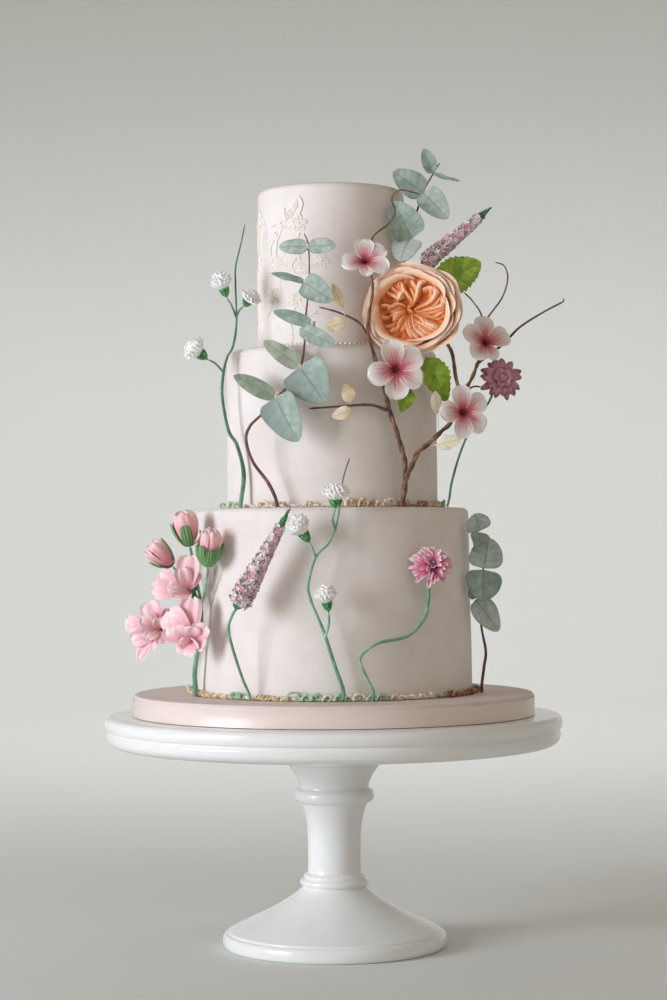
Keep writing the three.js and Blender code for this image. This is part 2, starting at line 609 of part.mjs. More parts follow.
// A bowl of swirled petals inside a ruffled rim, on a rounded back.
function gardenRose(width, height) {
  const spokes = 24;
  const petals = 6;
  const oval = (turn) => Math.hypot(width / 2 * Math.cos(turn), height / 2 * Math.sin(turn));
  const inBowl = (share) => share > 0.1 && share < 0.7;
  const swirl = (turn, share) => (inBowl(share) ? 2 * Math.cos(petals * (turn + 1.3 * share)) : 0);
  const ruffle = (turn, share) => (share > 0.8 ? 1.6 * Math.cos(3 * turn + 0.7) : 0);
  return bloom({
    spokes,
    outline: (turn) => oval(turn) * (1 + 0.03 * Math.cos(5 * turn)),
    wave: (turn, share) => swirl(turn, share) + ruffle(turn, share),
    profile: [[0, 15], [0.22, 16], [0.42, 17], [0.62, 18.5], [0.72, 20], [0.84, 16], [0.94, 13], [1, 6],
      [0.94, -2], [0.72, -12], [0.36, -19], [0, -20]],
  });
}

add('garden_rose', gardenRose(74, 66), APRICOT, facing([39, 476.5, 96.5], -8, 3), twigGap);

// ---------- flower spikes ----------

// A tapering spike of tiny florets, rough all round, with a smooth green tip.
function spike(length, fat, slim) {
  const sides = 8;
  const rows = 10;
  const bloomed = 0.86;           // share of the length that has florets
  const rings = Array.from({ length: rows + 1 }, (_, row) => {
    const share = row / rows;
    const inBloom = share < bloomed;
    const body = inBloom ? THREE.MathUtils.lerp(fat, slim, share / bloomed) : 5 * slim * (1 - share);
    const round = Math.min(1, 0.6 + 4 * share);
    return Array.from({ length: sides }, (_, i) => {
      const turn = 2 * Math.PI * (i + row / 2) / sides;
      const rough = inBloom && (i + row) % 2 ? 0.86 : 1;
      const radius = body * round * rough / 2;
      return new THREE.Vector3(radius * Math.cos(turn), radius * Math.sin(turn), length * share);
    });
  });
  return skin(rings);
}

add('low_spike', spike(81, 19, 10), SPIKE_PINK, pointing([-31.6, 261.3, 131.6], [-14, 332.5, 123]));
add('upper_spike', spike(66, 14.5, 8.5), SPIKE_PINK, pointing([56, 513.5, 82.5], [69.5, 554.5, 126]));

// ---------- small white flowers ----------

// A green cup and a ruffled white head on it, made pointing along +Z from the cup's foot.
function whiteFlower(width) {
  const sides = 8;
  const ruffle = (radius, height, ripple) => Array.from({ length: sides }, (_, i) => {
    const turn = 2 * Math.PI * i / sides;
    const fold = i % 2 ? -ripple : ripple;
    return new THREE.Vector3(
      radius * (1 + fold) * Math.cos(turn), radius * (1 + fold) * Math.sin(turn), height - 5 * fold);
  });
  return skin([
    ruffle(1, CUP_GAP, 0), ruffle(3.6, 3, 0), ruffle(3.8, 7, 0), ruffle(width / 2, 12.5, 0.14),
    ruffle(width * 0.4, 17.5, 0.14), ruffle(width * 0.14, 18, 0.1),
  ]);
}

// Each flower's width, its foot and its head's middle.
const WHITE_FLOWERS = {
  left_white_flower_1: [13.5, [-61.5, 489.5, 88.5], [-61, 502, 93.5]],
  left_white_flower_2: [13.5, [-56, 483, 78.5], [-51, 490, 74.5]],
  left_white_flower_3: [15.5, [-63, 443.5, 103.5], [-63.5, 451.5, 114]],
  center_white_flower_1: [17, [1, 331.5, 117], [1, 343, 119]],
  center_white_flower_2: [14, [-8, 307, 118], [-11.5, 319.5, 123.5]],
  center_white_flower_3: [13.5, [-1.5, 257.5, 120], [-2.5, 270.5, 123]],
};
for (const [name, [width, foot, head]] of Object.entries(WHITE_FLOWERS)) {
  add(name, whiteFlower(width), WHITE_SUGAR, pointing(foot, head));
}

// ---------- astrantia ----------

// A flat star of pointed petals round a low button.
function astrantia(width) {
  const petals = 12;
  return bloom({
    spokes: petals * 2,
    outline: (turn, share) => width / 2 * (1 - 0.2 * share * (1 - Math.cos(petals * turn))),
    profile: [[0, 3.5], [0.32, 3], [1, 2.4], [0.3, -2], [0, -3.5]],
  });
}

const astrantiaGap = ['astrantia_stem', 'side_branch'].map(around);
add('astrantia', astrantia(35), MAUVE, facing([69, 428, 135], 15, 8), astrantiaGap);

// ---------- pink spray: open flowers and buds ----------

// An open flower, taller than wide: a bowl of five ruffled petals on a green neck.
function openPinkFlower(width, height) {
  const petals = 5;
  const lobes = (turn) => 0.84 + 0.16 * Math.cos(petals * turn);
  const oval = (turn) => Math.hypot(width / 2 * Math.cos(turn), height / 2 * Math.sin(turn));
  return bloom({
    spokes: petals * 3,
    outline: (turn, share) => oval(turn) * (share > 0.5 ? lobes(turn) : 1),
    wave: (turn, share) => (share > 0.5 ? 2.2 * Math.sin(3 * turn + 0.6) : 0),
    profile: [[0, 1], [0.4, 3], [1, 9], [0.8, 3], [0.28, -5], [0.1, -9], [0, -9]],
  });
}

// A closed bud with four sepals pressed to it, made pointing along +Z from its foot.
function pinkBud(width, length) {
  const sides = 8;
  const round = (radius, height) => Array.from({ length: sides }, (_, i) => {
    const turn = 2 * Math.PI * i / sides;
    const sepal = i % 2 ? 1 : 1.12;
    return new THREE.Vector3(radius * sepal * Math.cos(turn), radius * sepal * Math.sin(turn), height);
  });
  return skin([
    round(1.4, CUP_GAP), round(width * 0.36, length * 0.12), round(width * 0.5, length * 0.38),
    round(width * 0.44, length * 0.66), round(width * 0.3, length * 0.9), round(width * 0.1, length),
  ]);
}

// Each open flower's width, height and frame; each bud's width, length, foot and tip.
const PINK_OPEN = {
  pink_flower_1: [33, 36, facing([-60.5, 280.5, 127.5], -42, 12, 62)],
  pink_flower_2: [34, 43, facing([-67.8, 245, 143.5], -40, 0, 18)],
  pink_flower_3: [35, 43, facing([-55.5, 245.5, 128.5], -10, 0, 18)],
};
const PINK_BUDS = {
  pink_bud_1: [18, 27, [-62, 305, 119.5], [-61.5, 331, 125.5]],
  pink_bud_2: [16, 24, [-70.3, 290.5, 127], [-71, 307, 144]],
  pink_bud_3: [17.5, 28, [-52, 290, 116.5], [-48, 317.5, 118.5]],
};
const pinkGap = [around('pink_spray_stem')];
for (const [name, [width, height, frame]] of Object.entries(PINK_OPEN)) {
  add(name, openPinkFlower(width, height), SOFT_PINK, frame, pinkGap);
}
for (const [name, [width, length, foot, tip]] of Object.entries(PINK_BUDS)) {
  add(name, pinkBud(width, length), SOFT_PINK, pointing(foot, tip));
}

// ---------- cornflower ----------

// A hub with two rings of trumpet florets.
function cornflower(width, depth) {
  const mouth = 2.6;
  const floret = (turn, lift, length) => {
    const trumpet = new THREE.ConeGeometry(mouth, length, 4).rotateX(-Math.PI / 2);
    trumpet.translate(0, 0, length / 2);
    const lean = new THREE.Matrix4().makeRotationY(radians(90 - lift));
    const round = new THREE.Matrix4().makeRotationZ(turn);
    return tidy(trumpet.applyMatrix4(lean).applyMatrix4(round));
  };
  const ring = (count, lift, length) => Array.from({ length: count }, (_, i) => (
    floret(2 * Math.PI * (i + lift / 90) / count, lift, length)));
  const cup = bloom({
    spokes: 8,
    outline: () => 6,
    profile: [[0, 2], [0.8, 1], [1, -2], [0.6, -7], [0.25, -10], [0, -10]],
  });
  return join(cup, ...ring(9, 20, width / 2), ...ring(4, 52, depth));
}

const cornflowerGap = [around('cornflower_stem')];
add('cornflower', cornflower(33, 13), MAGENTA, facing([36, 290.5, 118.5], 20, 35), cornflowerGap);

export default cake;
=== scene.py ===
"""Looks of a three-tier wedding cake with wired sugar flowers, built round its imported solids.

Lengths are in millimetres and become metres when a mesh is made. +Z is up and the front faces -Y.
"""

import math

import bpy
import numpy as np
from mathutils import Matrix

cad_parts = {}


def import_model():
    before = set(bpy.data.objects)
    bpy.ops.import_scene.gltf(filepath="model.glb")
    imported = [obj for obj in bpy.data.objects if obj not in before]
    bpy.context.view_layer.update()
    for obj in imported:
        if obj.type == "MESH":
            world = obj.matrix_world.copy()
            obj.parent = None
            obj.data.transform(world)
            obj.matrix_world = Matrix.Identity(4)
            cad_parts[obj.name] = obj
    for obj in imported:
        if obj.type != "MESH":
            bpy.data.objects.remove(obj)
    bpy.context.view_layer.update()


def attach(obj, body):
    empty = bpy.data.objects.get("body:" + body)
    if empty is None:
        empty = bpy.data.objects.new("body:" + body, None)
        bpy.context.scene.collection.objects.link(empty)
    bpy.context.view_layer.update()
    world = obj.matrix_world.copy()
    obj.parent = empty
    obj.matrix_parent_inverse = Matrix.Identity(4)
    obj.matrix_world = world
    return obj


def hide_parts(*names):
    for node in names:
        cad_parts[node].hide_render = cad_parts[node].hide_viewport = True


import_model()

METRES = 0.001
UP = np.array([0.0, 0.0, 1.0])
HERE = np.eye(4)                # the frame of what is drawn in its own place
GOLDEN = 137.5                  # degrees between florets or seeds that fill a spiral evenly


# ---------- places ----------

def at(angle, height, reach):
    """A place at a height, by its angle from the front (towards +X) and its reach from the cake's axis."""
    turn = math.radians(angle)
    return np.array([reach * math.sin(turn), -reach * math.cos(turn), height])


def unit(vector):
    return vector / (np.linalg.norm(vector, axis=-1, keepdims=True) + 1e-12)


def basis(right, above, out, origin):
    matrix = np.eye(4)
    matrix[:3] = np.stack([right, above, out, origin], -1)
    return matrix


def facing(place, turn, lift=0):
    """The frame of a flower that faces out: turn degrees round from the front and lift degrees up."""
    a, e = math.radians(turn), math.radians(lift)
    out = np.array([math.sin(a) * math.cos(e), -math.cos(a) * math.cos(e), math.sin(e)])
    right = np.array([math.cos(a), math.sin(a), 0.0])
    return basis(right, np.cross(out, right), out, at(*place))


def pointing(start, end):
    """The frame whose +Z runs from one place towards another."""
    origin = at(*start)
    out = unit(at(*end) - origin)
    right = unit(np.cross(UP, out))
    return basis(right, np.cross(out, right), out, origin)


def swung(first, second, degrees):
    """A turn of one axis towards another."""
    a = math.radians(degrees)
    matrix = np.eye(4)
    both = (first, second)
    matrix[np.ix_(both, both)] = [[math.cos(a), -math.sin(a)], [math.sin(a), math.cos(a)]]
    return matrix


def spin(degrees):
    """A turn about +Z."""
    return swung(0, 1, degrees)


def twisted(degrees):
    """A turn about +X, along a petal."""
    return swung(1, 2, degrees)


def leaning(degrees):
    """A turn about +Y that raises what lies along +X."""
    return swung(0, 2, degrees)


def scaled(x=1.0, y=1.0):
    return np.diag([x, y, 1.0, 1.0])


def shifted(x=0.0, y=0.0, z=0.0):
    matrix = np.eye(4)
    matrix[:3, 3] = x, y, z
    return matrix


def moved(points, matrix):
    return np.asarray(points) @ matrix[:3, :3].T + matrix[:3, 3]


def smooth(points, step):
    """A smooth curve through the points, with a point about every step."""
    points = np.asarray(points, float)
    row = np.vstack([2 * points[0] - points[1], points, 2 * points[-1] - points[-2]])
    curve = []
    for p, a, b, q in zip(row, row[1:], row[2:], row[3:]):
        count = max(2, int(np.linalg.norm(b - a) / step) + 1)
        t = np.linspace(0, 1, count, endpoint=False)[:, None]
        bend = (2 * p - 5 * a + 4 * b - q) * t**2 + (3 * a - p - 3 * b + q) * t**3
        curve.append(0.5 * (2 * a + (b - p) * t + bend))
    return np.vstack([*curve, points[-1:]])


def run_along(path):
    """How far along a path each of its points lies."""
    return np.concatenate([[0], np.cumsum(np.linalg.norm(np.diff(path, axis=0), axis=1))])


def circle(count):
    """A full turn in even steps."""
    return np.linspace(0, 2 * math.pi, count, endpoint=False)


def rings(radius, turn, height=0.0):
    """Points round +Z."""
    return np.stack(np.broadcast_arrays(radius * np.cos(turn), radius * np.sin(turn), height), -1)


def sway(points, size, seed):
    """Smooth, repeatable unevenness: about -1 to 1, with bumps of the given size."""
    draw = np.random.default_rng(seed)
    total = 0
    for _ in range(5):
        wave = draw.normal(size=3) * 2.2 / size
        total = total + np.sin(points @ wave + draw.uniform(0, 2 * math.pi))
    return total / 3.0


# ---------- meshes ----------

def weave(rows, columns, wrap=False, closed=False):
    """The quads of a grid of points; wrap joins the last column to the first, closed the last row."""
    r = np.arange(rows if closed else rows - 1)[:, None]
    c = np.arange(columns if wrap else columns - 1)[None, :]
    r2, c2 = (r + 1) % rows, (c + 1) % columns
    corners = [r * columns + c, r * columns + c2, r2 * columns + c2, r2 * columns + c]
    return np.stack(np.broadcast_arrays(*corners), -1).reshape(-1, 4)


def drum(rows, columns, closed=False):
    """The faces round rings of points: their wall and, unless it closes on itself, its two ends."""
    end = np.arange(columns)[None, :]
    ends = [] if closed else [end[:, ::-1], end + (rows - 1) * columns]
    return [weave(rows, columns, True, closed), *ends]


def tagged(along, across, draw):
    """A tag for each point of a grid."""
    return np.stack(np.broadcast_arrays(along, across, draw), -1).reshape(-1, 3)


class Shape:
    """Gathers the faces of one piece. Each point carries a tag: how far along, how far across, a draw."""

    def __init__(self):
        self.points, self.tags, self.faces, self.paints, self.count = [], [], [], [], 0

    def add(self, points, faces, tags, paint, place):
        points = moved(np.reshape(points, (-1, 3)), place)
        self.points.append(points)
        self.tags.append(tags)
        for group in faces:
            self.faces += (group + self.count).tolist()
            self.paints += [paint] * len(group)
        self.count += len(points)

    def tube(self, path, radius, sides, draw=0.0, paint=0, place=HERE, closed=False):
        """A round tube along a path; radius is a number, one for each point, or one for each side too."""
        path = np.asarray(path, float)
        tangent = unit(np.roll(path, -1, 0) - np.roll(path, 1, 0) if closed else np.gradient(path, axis=0))
        normal = np.cross(tangent[0], [0.31, 0.52, 0.79])
        normals = []
        for t in tangent:
            normal = unit(normal - t * (normal @ t))
            normals.append(normal)
        axes = np.array(normals)[:, None], np.cross(tangent, normals)[:, None]
        turn = circle(sides)
        radius = np.reshape(radius, np.shape(radius) + (1,) * (3 - np.ndim(radius)))
        spread = np.cos(turn)[:, None] * axes[0] + np.sin(turn)[:, None] * axes[1]
        tags = tagged(run_along(path)[:, None], turn / math.pi - 1, draw)
        self.add(path[:, None] + radius * spread, drum(len(path), sides, closed), tags, paint, place)

    def sheet(self, middle, thickness, draw, paint=0, place=HERE):
        """A thin closed petal or leaf round its middle surface, a grid of points (along, across)."""
        rows, columns = middle.shape[:2]
        normal = unit(np.cross(np.gradient(middle, axis=1), np.gradient(middle, axis=0)))
        along = np.linspace(0, 1, rows)[:, None]
        across = np.linspace(-1, 1, columns)
        thin = 1 - 0.5 * np.maximum(np.abs(across) ** 3, along**6)
        half = normal * (thickness / 2 * thin)[..., None]
        grid = weave(rows, columns)
        last = rows * columns
        rim = [*range(columns), *range(2 * columns - 1, last, columns)]
        rim += [*range(last - 2, last - columns - 1, -1), *range(last - 2 * columns, 0, -columns)]
        rim = np.array(rim)
        after = np.roll(rim, -1)
        side = np.stack([after, rim, rim + last, after + last], -1)
        tags = np.tile(tagged(along, across, draw), (2, 1))
        self.add([middle + half, middle - half], [grid, grid[:, ::-1] + last, side], tags, paint, place)

    def turned(self, profile, segments, draw=0.0, paint=0, place=HERE, closed=False,
               shape=lambda turn, height: 1.0, rise=lambda turn, height: 0.0):
        """A solid turned about +Z from [radius, height] points listed upwards on its outside; shape gives a
        factor for the radius and rise a step for the height, by the turn and the height."""
        radius, height = np.asarray(profile, float).T[..., None]
        turn = circle(segments)
        points = rings(radius * shape(turn, height), turn, height + rise(turn, height))
        tags = tagged(np.linspace(0, 1, len(profile))[:, None], turn / math.pi - 1, draw)
        self.add(points, drum(len(profile), segments, closed), tags, paint, place)


def dot(shape, place, radius, paint, squash=1.0, draw=0.0):
    """A small round bead."""
    rise = np.linspace(-math.pi / 2 + 0.25, math.pi / 2 - 0.25, 5)
    profile = np.stack([radius * np.cos(rise), squash * radius * np.sin(rise)], -1)
    shape.turned(profile, 8, draw, paint, shifted(*place))


def put(name, data):
    """Puts a new object with the given data in the scene."""
    made = bpy.data.objects.new(name, data)
    bpy.context.scene.collection.objects.link(made)
    return made


def mesh_of(name, points, faces, paints):
    """A smooth mesh from points in millimetres."""
    mesh = bpy.data.meshes.new(name)
    mesh.from_pydata((points * METRES).tolist(), [], faces)
    mesh.polygons.foreach_set("use_smooth", [True] * len(faces))
    for paint in paints:
        mesh.materials.append(paint)
    return mesh


def make(name, shape, paints, sharp=70):
    """Makes a piece that rides on the body, takes the given paints and stands for the solid of its name."""
    mesh = mesh_of("fine_" + name, np.vstack(shape.points), shape.faces, paints)
    mesh.set_sharp_from_angle(angle=math.radians(sharp))
    petal = mesh.attributes.new("petal", "FLOAT_VECTOR", "POINT")
    petal.data.foreach_set("vector", np.vstack(shape.tags).astype(np.float32).ravel())
    mesh.polygons.foreach_set("material_index", shape.paints)
    mesh.update()
    piece = put(mesh.name, mesh)
    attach(piece, "root")
    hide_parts(name)


def soften(corners):
    """Rounds the corners of a profile; each corner is [radius, height, how far the rounding reaches]."""
    corners = [np.array(c[:2] + [c[2] if len(c) > 2 else 0.8], float) for c in corners]
    points = [corners[0][:2]]
    t = np.linspace(0, 1, 5)[:, None]
    for before, corner, after in zip(corners, corners[1:], corners[2:]):
        here = corner[:2]
        spans = []
        for other in (before[:2], after[:2]):
            length = np.linalg.norm(other - here)
            spans.append(here + (other - here) * min(corner[2], 0.49 * length) / length)
        points.extend((1 - t) ** 2 * spans[0] + 2 * t * (1 - t) * here + t**2 * spans[1])
    return np.array([*points, corners[-1][:2]])


# ---------- materials ----------

def tone(code):
    """A colour in the shader's linear values from its sRGB code."""
    parts = [int(code[i:i + 2], 16) / 255 for i in (1, 3, 5)]
    return [*(p / 12.92 if p <= 0.04045 else ((p + 0.055) / 1.055) ** 2.4 for p in parts), 1.0]


class Value:
    """What a material's node gives, with signs for the nodes that add, subtract, multiply and divide."""

    def __init__(self, paint, socket):
        self.paint = paint
        self.socket = socket

    def __add__(self, other):
        return self.paint.math("ADD", self, other)

    def __sub__(self, other):
        return self.paint.math("SUBTRACT", self, other)

    def __rsub__(self, other):
        return self.paint.math("SUBTRACT", other, self)

    def __mul__(self, other):
        return self.paint.math("MULTIPLY", self, other)

    def __truediv__(self, other):
        return self.paint.math("DIVIDE", self, other)


class Paint:
    """A procedural material: a Principled shader, with short names for the nodes that feed it."""

    def __init__(self, name, roughness, shine=0.5, **sockets):
        self.material = bpy.data.materials.new(name)
        self.material.use_nodes = True
        self.nodes = self.material.node_tree.nodes
        self.links = self.material.node_tree.links
        self.shader = self.nodes["Principled BSDF"]
        self.shader.inputs["Roughness"].default_value = roughness
        self.shader.inputs["Specular IOR Level"].default_value = shine
        for key, value in sockets.items():
            self.shader.inputs[key.replace("_", " ").title()].default_value = value

    def node(self, kind, inputs, output=0, **settings):
        """A new node's output; its inputs are values, numbers or colour codes."""
        made = self.nodes.new("ShaderNode" + kind)
        for key, value in settings.items():
            setattr(made, key, value)
        for key, value in inputs.items():
            if isinstance(value, Value):
                self.links.new(value.socket, made.inputs[key])
            else:
                made.inputs[key].default_value = tone(value) if isinstance(value, str) else value
        return Value(self, made.outputs[output])

    def place(self, scale=(1, 1, 1)):
        """A point's place in metres, stretched by the scale."""
        spot = self.node("TexCoord", {}, "Object")
        return self.node("VectorMath", {0: spot, 1: scale}, operation="MULTIPLY")

    def split(self, vector):
        """A vector's three parts."""
        made = self.node("SeparateXYZ", {0: vector}).socket.node
        return [Value(self, part) for part in made.outputs]

    def petal(self):
        """A point's tag as (along, across, draw)."""
        tag = self.node("Attribute", {}, "Vector", attribute_type="GEOMETRY", attribute_name="petal")
        return self.split(tag)

    def noise(self, size, detail, vector=None, rough=0.55):
        """Noise with features of about the given size in millimetres, or in the vector's own units."""
        scale = 1 / size if vector else 1 / (size * METRES)
        inputs = {"Vector": vector or self.place(), "Scale": scale, "Detail": detail, "Roughness": rough}
        return self.node("TexNoise", inputs)

    def math(self, operation, *values):
        return self.node("Math", dict(enumerate(values)), operation=operation)

    def ramp(self, factor, stops):
        """A colour by the factor, from stops of a position and a code each."""
        made = self.node("ValToRGB", {0: factor})
        band = made.socket.node.color_ramp.elements
        while len(band) < len(stops):
            band.new(0.5)
        for element, (position, code) in zip(band, stops.items()):
            element.position = position
            element.color = tone(code)
        return made

    def between(self, value, low, high):
        """0 to 1 as a value runs from low to high."""
        return self.node("MapRange", {0: value, 1: low, 2: high}, interpolation_type="SMOOTHSTEP")

    def mix(self, factor, a, b, blend="MIX"):
        """Mixes two colours, given as values or codes."""
        return self.node("Mix", {"Factor": factor, 6: a, 7: b}, 2, data_type="RGBA", blend_type=blend)

    def finish(self, colour, height=None, depth=0.1, rough=None):
        """Joins up the colour, a bump of the given depth in millimetres, and the roughness."""
        ends = {"Base Color": colour}
        if height:
            inputs = {"Height": height, "Strength": 1.0, "Distance": depth * METRES}
            ends["Normal"] = self.node("Bump", inputs)
        if rough:
            ends["Roughness"] = rough
        for key, value in ends.items():
            self.links.new(value.socket, self.shader.inputs[key])
        return self.material


def fondant_paint():
    p = Paint("fondant", 0.62, 0.3)
    colour = p.mix(p.between(p.noise(38, 3), 0.35, 0.7), "#f0eae6", "#e9ded8")
    colour = p.mix(p.noise(7, 4) * 0.35, colour, "#ece1db")
    return p.finish(colour, p.noise(14, 2) * 2.2 + p.noise(0.9, 4), 0.09)


def stand_paint():
    p = Paint("satin_white_paint", 0.3, coat_weight=0.3, coat_roughness=0.15)
    colour = p.mix(p.noise(0.02, 3, p.place((1, 1, 5))), "#f5f5f4", "#f1f1ef")
    colour = p.mix(p.between(p.noise(1.3, 5), 0.68, 0.8) * 0.2, colour, "#d6d0c6")
    rough = p.ramp(p.noise(9, 3), {0.3: "#707070", 0.7: "#8c8c8c"})
    return p.finish(colour, p.noise(3.2, 4), 0.012, rough)


def icing_paint():
    p = Paint("board_icing", 0.7, 0.3)
    colour = p.mix(p.noise(22, 3), "#e9dcd5", "#dfd0c8")
    return p.finish(colour, p.noise(9, 2) * 1.5 + p.noise(0.8, 4), 0.08)


def satin_paint():
    p = Paint("ribbon_satin", 0.27, sheen_weight=0.4, sheen_roughness=0.35, anisotropic=0.6,
              coat_weight=0.3, coat_roughness=0.3)
    weft = p.noise(0.0016, 3, p.place((0.06, 0.06, 1)))
    return p.finish(p.mix(weft, "#f2e4dd", "#e8d4ca"), weft, 0.06)


def piping_paint():
    p = Paint("piping", 0.6, 0.35)
    return p.finish(p.mix(p.noise(3, 3), "#fffaf2", "#f8ecdc"), p.noise(0.5, 3), 0.05)


def tape_paint(name, shades, wrap=2.4, speck=0.3, high=None):
    """Floral tape wound round a wire: slanting overlaps, crinkles and a shade that drifts along it; high
    gives other shades for what is above the bottom tier."""
    p = Paint(name, 0.72, 0.35)
    run, turn, draw = p.petal()
    lap = p.math("FRACT", run / wrap + turn * 0.5)
    drift = p.noise(9, 2) + (draw - 0.5) * 0.25
    stops = (0.32, 0.5, 0.68)
    colour = p.ramp(drift, dict(zip(stops, shades)))
    dark = shades[0]
    if high:
        level = p.between(p.split(p.place())[2], 0.33, 0.36)
        colour = p.mix(level, colour, p.ramp(drift, dict(zip(stops, high))))
        dark = p.mix(level, dark, high[0])
    grain = p.noise(0.35, 4)
    colour = p.mix((1.0 - p.between(lap, 0.0, 0.22)) * 0.55, colour, dark)
    colour = p.mix(grain * speck, colour, shades[2])
    return p.finish(colour, lap * 1.2 + grain, 0.3)


def border_paint():
    """Floral tape whose shade the draw picks: tan, rose-tan, green, pale green and red-brown."""
    p = Paint("border_tape", 0.75, 0.3)
    run, turn, draw = p.petal()
    colour = p.ramp(draw + (p.noise(5, 3) - 0.5) * 0.22, {
        0.0: "#c9a776", 0.1: "#e6d2b2", 0.22: "#fdf0e2", 0.34: "#efdcc8", 0.5: "#98c6a6", 0.62: "#b9d8ba",
        0.76: "#ebe8d4", 0.86: "#d2b095", 1.0: "#9a6d5c"})
    grain = p.noise(0.4, 4)
    colour = p.mix(grain * 0.45, colour, "#ead9c4", "SOFT_LIGHT")
    return p.finish(colour, p.math("FRACT", run / 2.0 + turn * 0.5) + grain, 0.3)


def leaf_paint(name, shades, rib, ribs, gloss, vein, edge=0.45, bloom=0.3, rim=None, painted_shade_tone=None):
    """A leaf: a midrib, side veins that slant towards the tip, blotches and another shade at its edge; bloom
    is how far its draw shifts its shade, and a draw below zero paints one half of it a cooler, darker tone:
    painted shade on the far half of a folded leaf."""
    p = Paint(name, gloss, 0.4)
    along, across, draw = p.petal()
    wide = p.math("ABSOLUTE", across)
    blotch = p.noise(7, 4, rough=0.6) + (p.math("ABSOLUTE", draw) - 0.5) * bloom
    colour = p.ramp(blotch, dict(zip((0.3, 0.52, 0.72), shades)))
    # painted shade: a draw below zero mixes a cooler, darker tone into one half of the leaf, standing in for
    # the shade on the far half of a fold
    if painted_shade_tone:
        half = p.between(across, -0.1, 0.3) * p.math("LESS_THAN", draw, 0.0)
        colour = p.mix(half * 0.65, colour, painted_shade_tone)
    lean = along - wide * 0.16 + p.noise(4, 2) * 0.08
    side = p.between(p.math("SINE", lean * (2 * math.pi * ribs)), 0.88, 1.0)
    middle = 1.0 - p.between(wide, 0.015, 0.06)
    colour = p.mix(side * vein, colour, rib)
    colour = p.mix(middle * 0.7, colour, rib)
    colour = p.mix(p.between(wide, 0.8, 1.0) * edge, colour, rim or shades[2])
    return p.finish(colour, p.noise(1.2, 3) - (side + middle), 0.12)


def petal_paint(name, shades, streak="", streaks=0.0, rim=None, rough=0.6, depth=0.175, tint=0.12, pale=0.0,
                sides=1.0, **sockets):
    """A sugar petal: its shade runs from base to rim, with fine rays, rosy streaks and a pale rim; pale is
    how much sooner it pales at its sides, sides how strong its rim is there."""
    p = Paint(name, rough, 0.3, **sockets)
    along, across, draw = p.petal()
    wide = p.math("ABSOLUTE", across)
    rays = p.noise(1.0, 3, p.node("CombineXYZ", {0: along * 1.6, 1: across * 9.0, 2: draw * 40.0}), 0.6)
    place = along + ((p.noise(5, 2) - 0.5) * tint + (rays - 0.5) * 0.22)
    if pale:
        place = place + wide * along * pale
    colour = p.ramp(place, shades)
    if streaks:
        band = p.between(rays, 0.45, 0.62) * (1.0 - p.between(wide, 0.2, 0.75))
        colour = p.mix(band * (1.0 - p.between(along, 0.45, 0.9)) * streaks, colour, streak)
    if rim:
        edge = p.math("MAXIMUM", p.between(along, 0.9, 0.99), p.between(wide, 0.86, 0.98) * sides)
        colour = p.mix(edge * 0.85, colour, rim)
    return p.finish(colour, rays * 1.6 + p.noise(0.7, 2), depth)


def plain_paint(name, low, high, size):
    """A colour that drifts between two shades, with a fine grain."""
    p = Paint(name, 0.6, 0.4)
    colour = p.mix(p.between(p.noise(size, 3), 0.35, 0.65), low, high)
    return p.finish(colour, p.noise(size / 3, 3), 0.08)


def draw_paint(name, stops):
    """A shade picked for each floret by its draw, a little paler towards its rim."""
    p = Paint(name, 0.7, 0.3)
    along, _, draw = p.petal()
    colour = p.mix(p.between(along, 0.3, 1.0) * 0.35, p.ramp(draw, stops), "#fff4f4")
    return p.finish(colour, p.noise(0.5, 3), 0.08)


def sepal_paint():
    """Green sepals with lighter stripes along them."""
    p = Paint("striped_sepal", 0.5, 0.4)
    stripe = p.between(p.math("SINE", p.petal()[1] * 12.0), 0.0, 0.9)
    colour = p.mix(stripe * 0.7, "#5c9152", "#b4d6a4")
    colour = p.mix(p.noise(3, 3) * 0.35, colour, "#3f7048")
    return p.finish(colour, stripe + p.noise(0.8, 2), 0.25)


FONDANT = fondant_paint()
STAND = stand_paint()
GREEN = plain_paint("calyx_green", "#2f7741", "#70b579", 2.2)
BORDER = border_paint()
THREAD = tape_paint("pale_thread", ("#cfc4b8", "#e4dcd2", "#f4efe8"), 1.2)
TAPES = {                       # by the slot that each one fills
    "green_wire": tape_paint("green_tape", ("#5f9a78", "#84b796", "#b9d8be"),
                             high=("#2f5c40", "#4d8059", "#86ab8a")),
    "bark_tape": tape_paint("bark_tape", ("#4a2f26", "#74533f", "#a8846c"), speck=0.4),
    "eucalyptus_wire": tape_paint("plum_tape", ("#5f3f40", "#86595b", "#b48884"), 2.2),
}
LEAF_PAINTS = {
    # The eucalyptus paint's last colour is painted shade, for the far half of folded leaves.
    "eucalyptus_leaf": leaf_paint("eucalyptus_leaf", ("#8fa398", "#abbab0", "#c6d2ca"), "#76837d", 5.0,
                                  0.65, 0.2, 0.55, 0.35, "#8aa392", "#a3b1b1"),
    "olive_leaf": leaf_paint("olive_leaf", ("#7f8c78", "#96a18c", "#b0b8a4"), "#6d7768", 5.0, 0.65, 0.15, 0.4,
                             rim="#8f9c88"),
    "rose_leaf": leaf_paint("rose_leaf", ("#4a7615", "#7fa82b", "#a8c44c"), "#5a8c20", 7.0, 0.42, 0.5, 0.35,
                            rim="#8a8a35"),
    "cream_leaf": leaf_paint("cream_leaf", ("#e4c898", "#f3dfb8", "#fbf1d8"), "#c0a87c", 5.0, 0.55, 0.2),
}


# ---------- stand ----------

PLATE_BOTTOM = 152.3
PLATE_TOP = 176.4
BOARD_TOP = 193.0
BOARD_RADIUS = 151.9
GAP = 0.3                       # between pieces that rest on each other
ROUND = 160                     # facets round the cake, the board and the stand

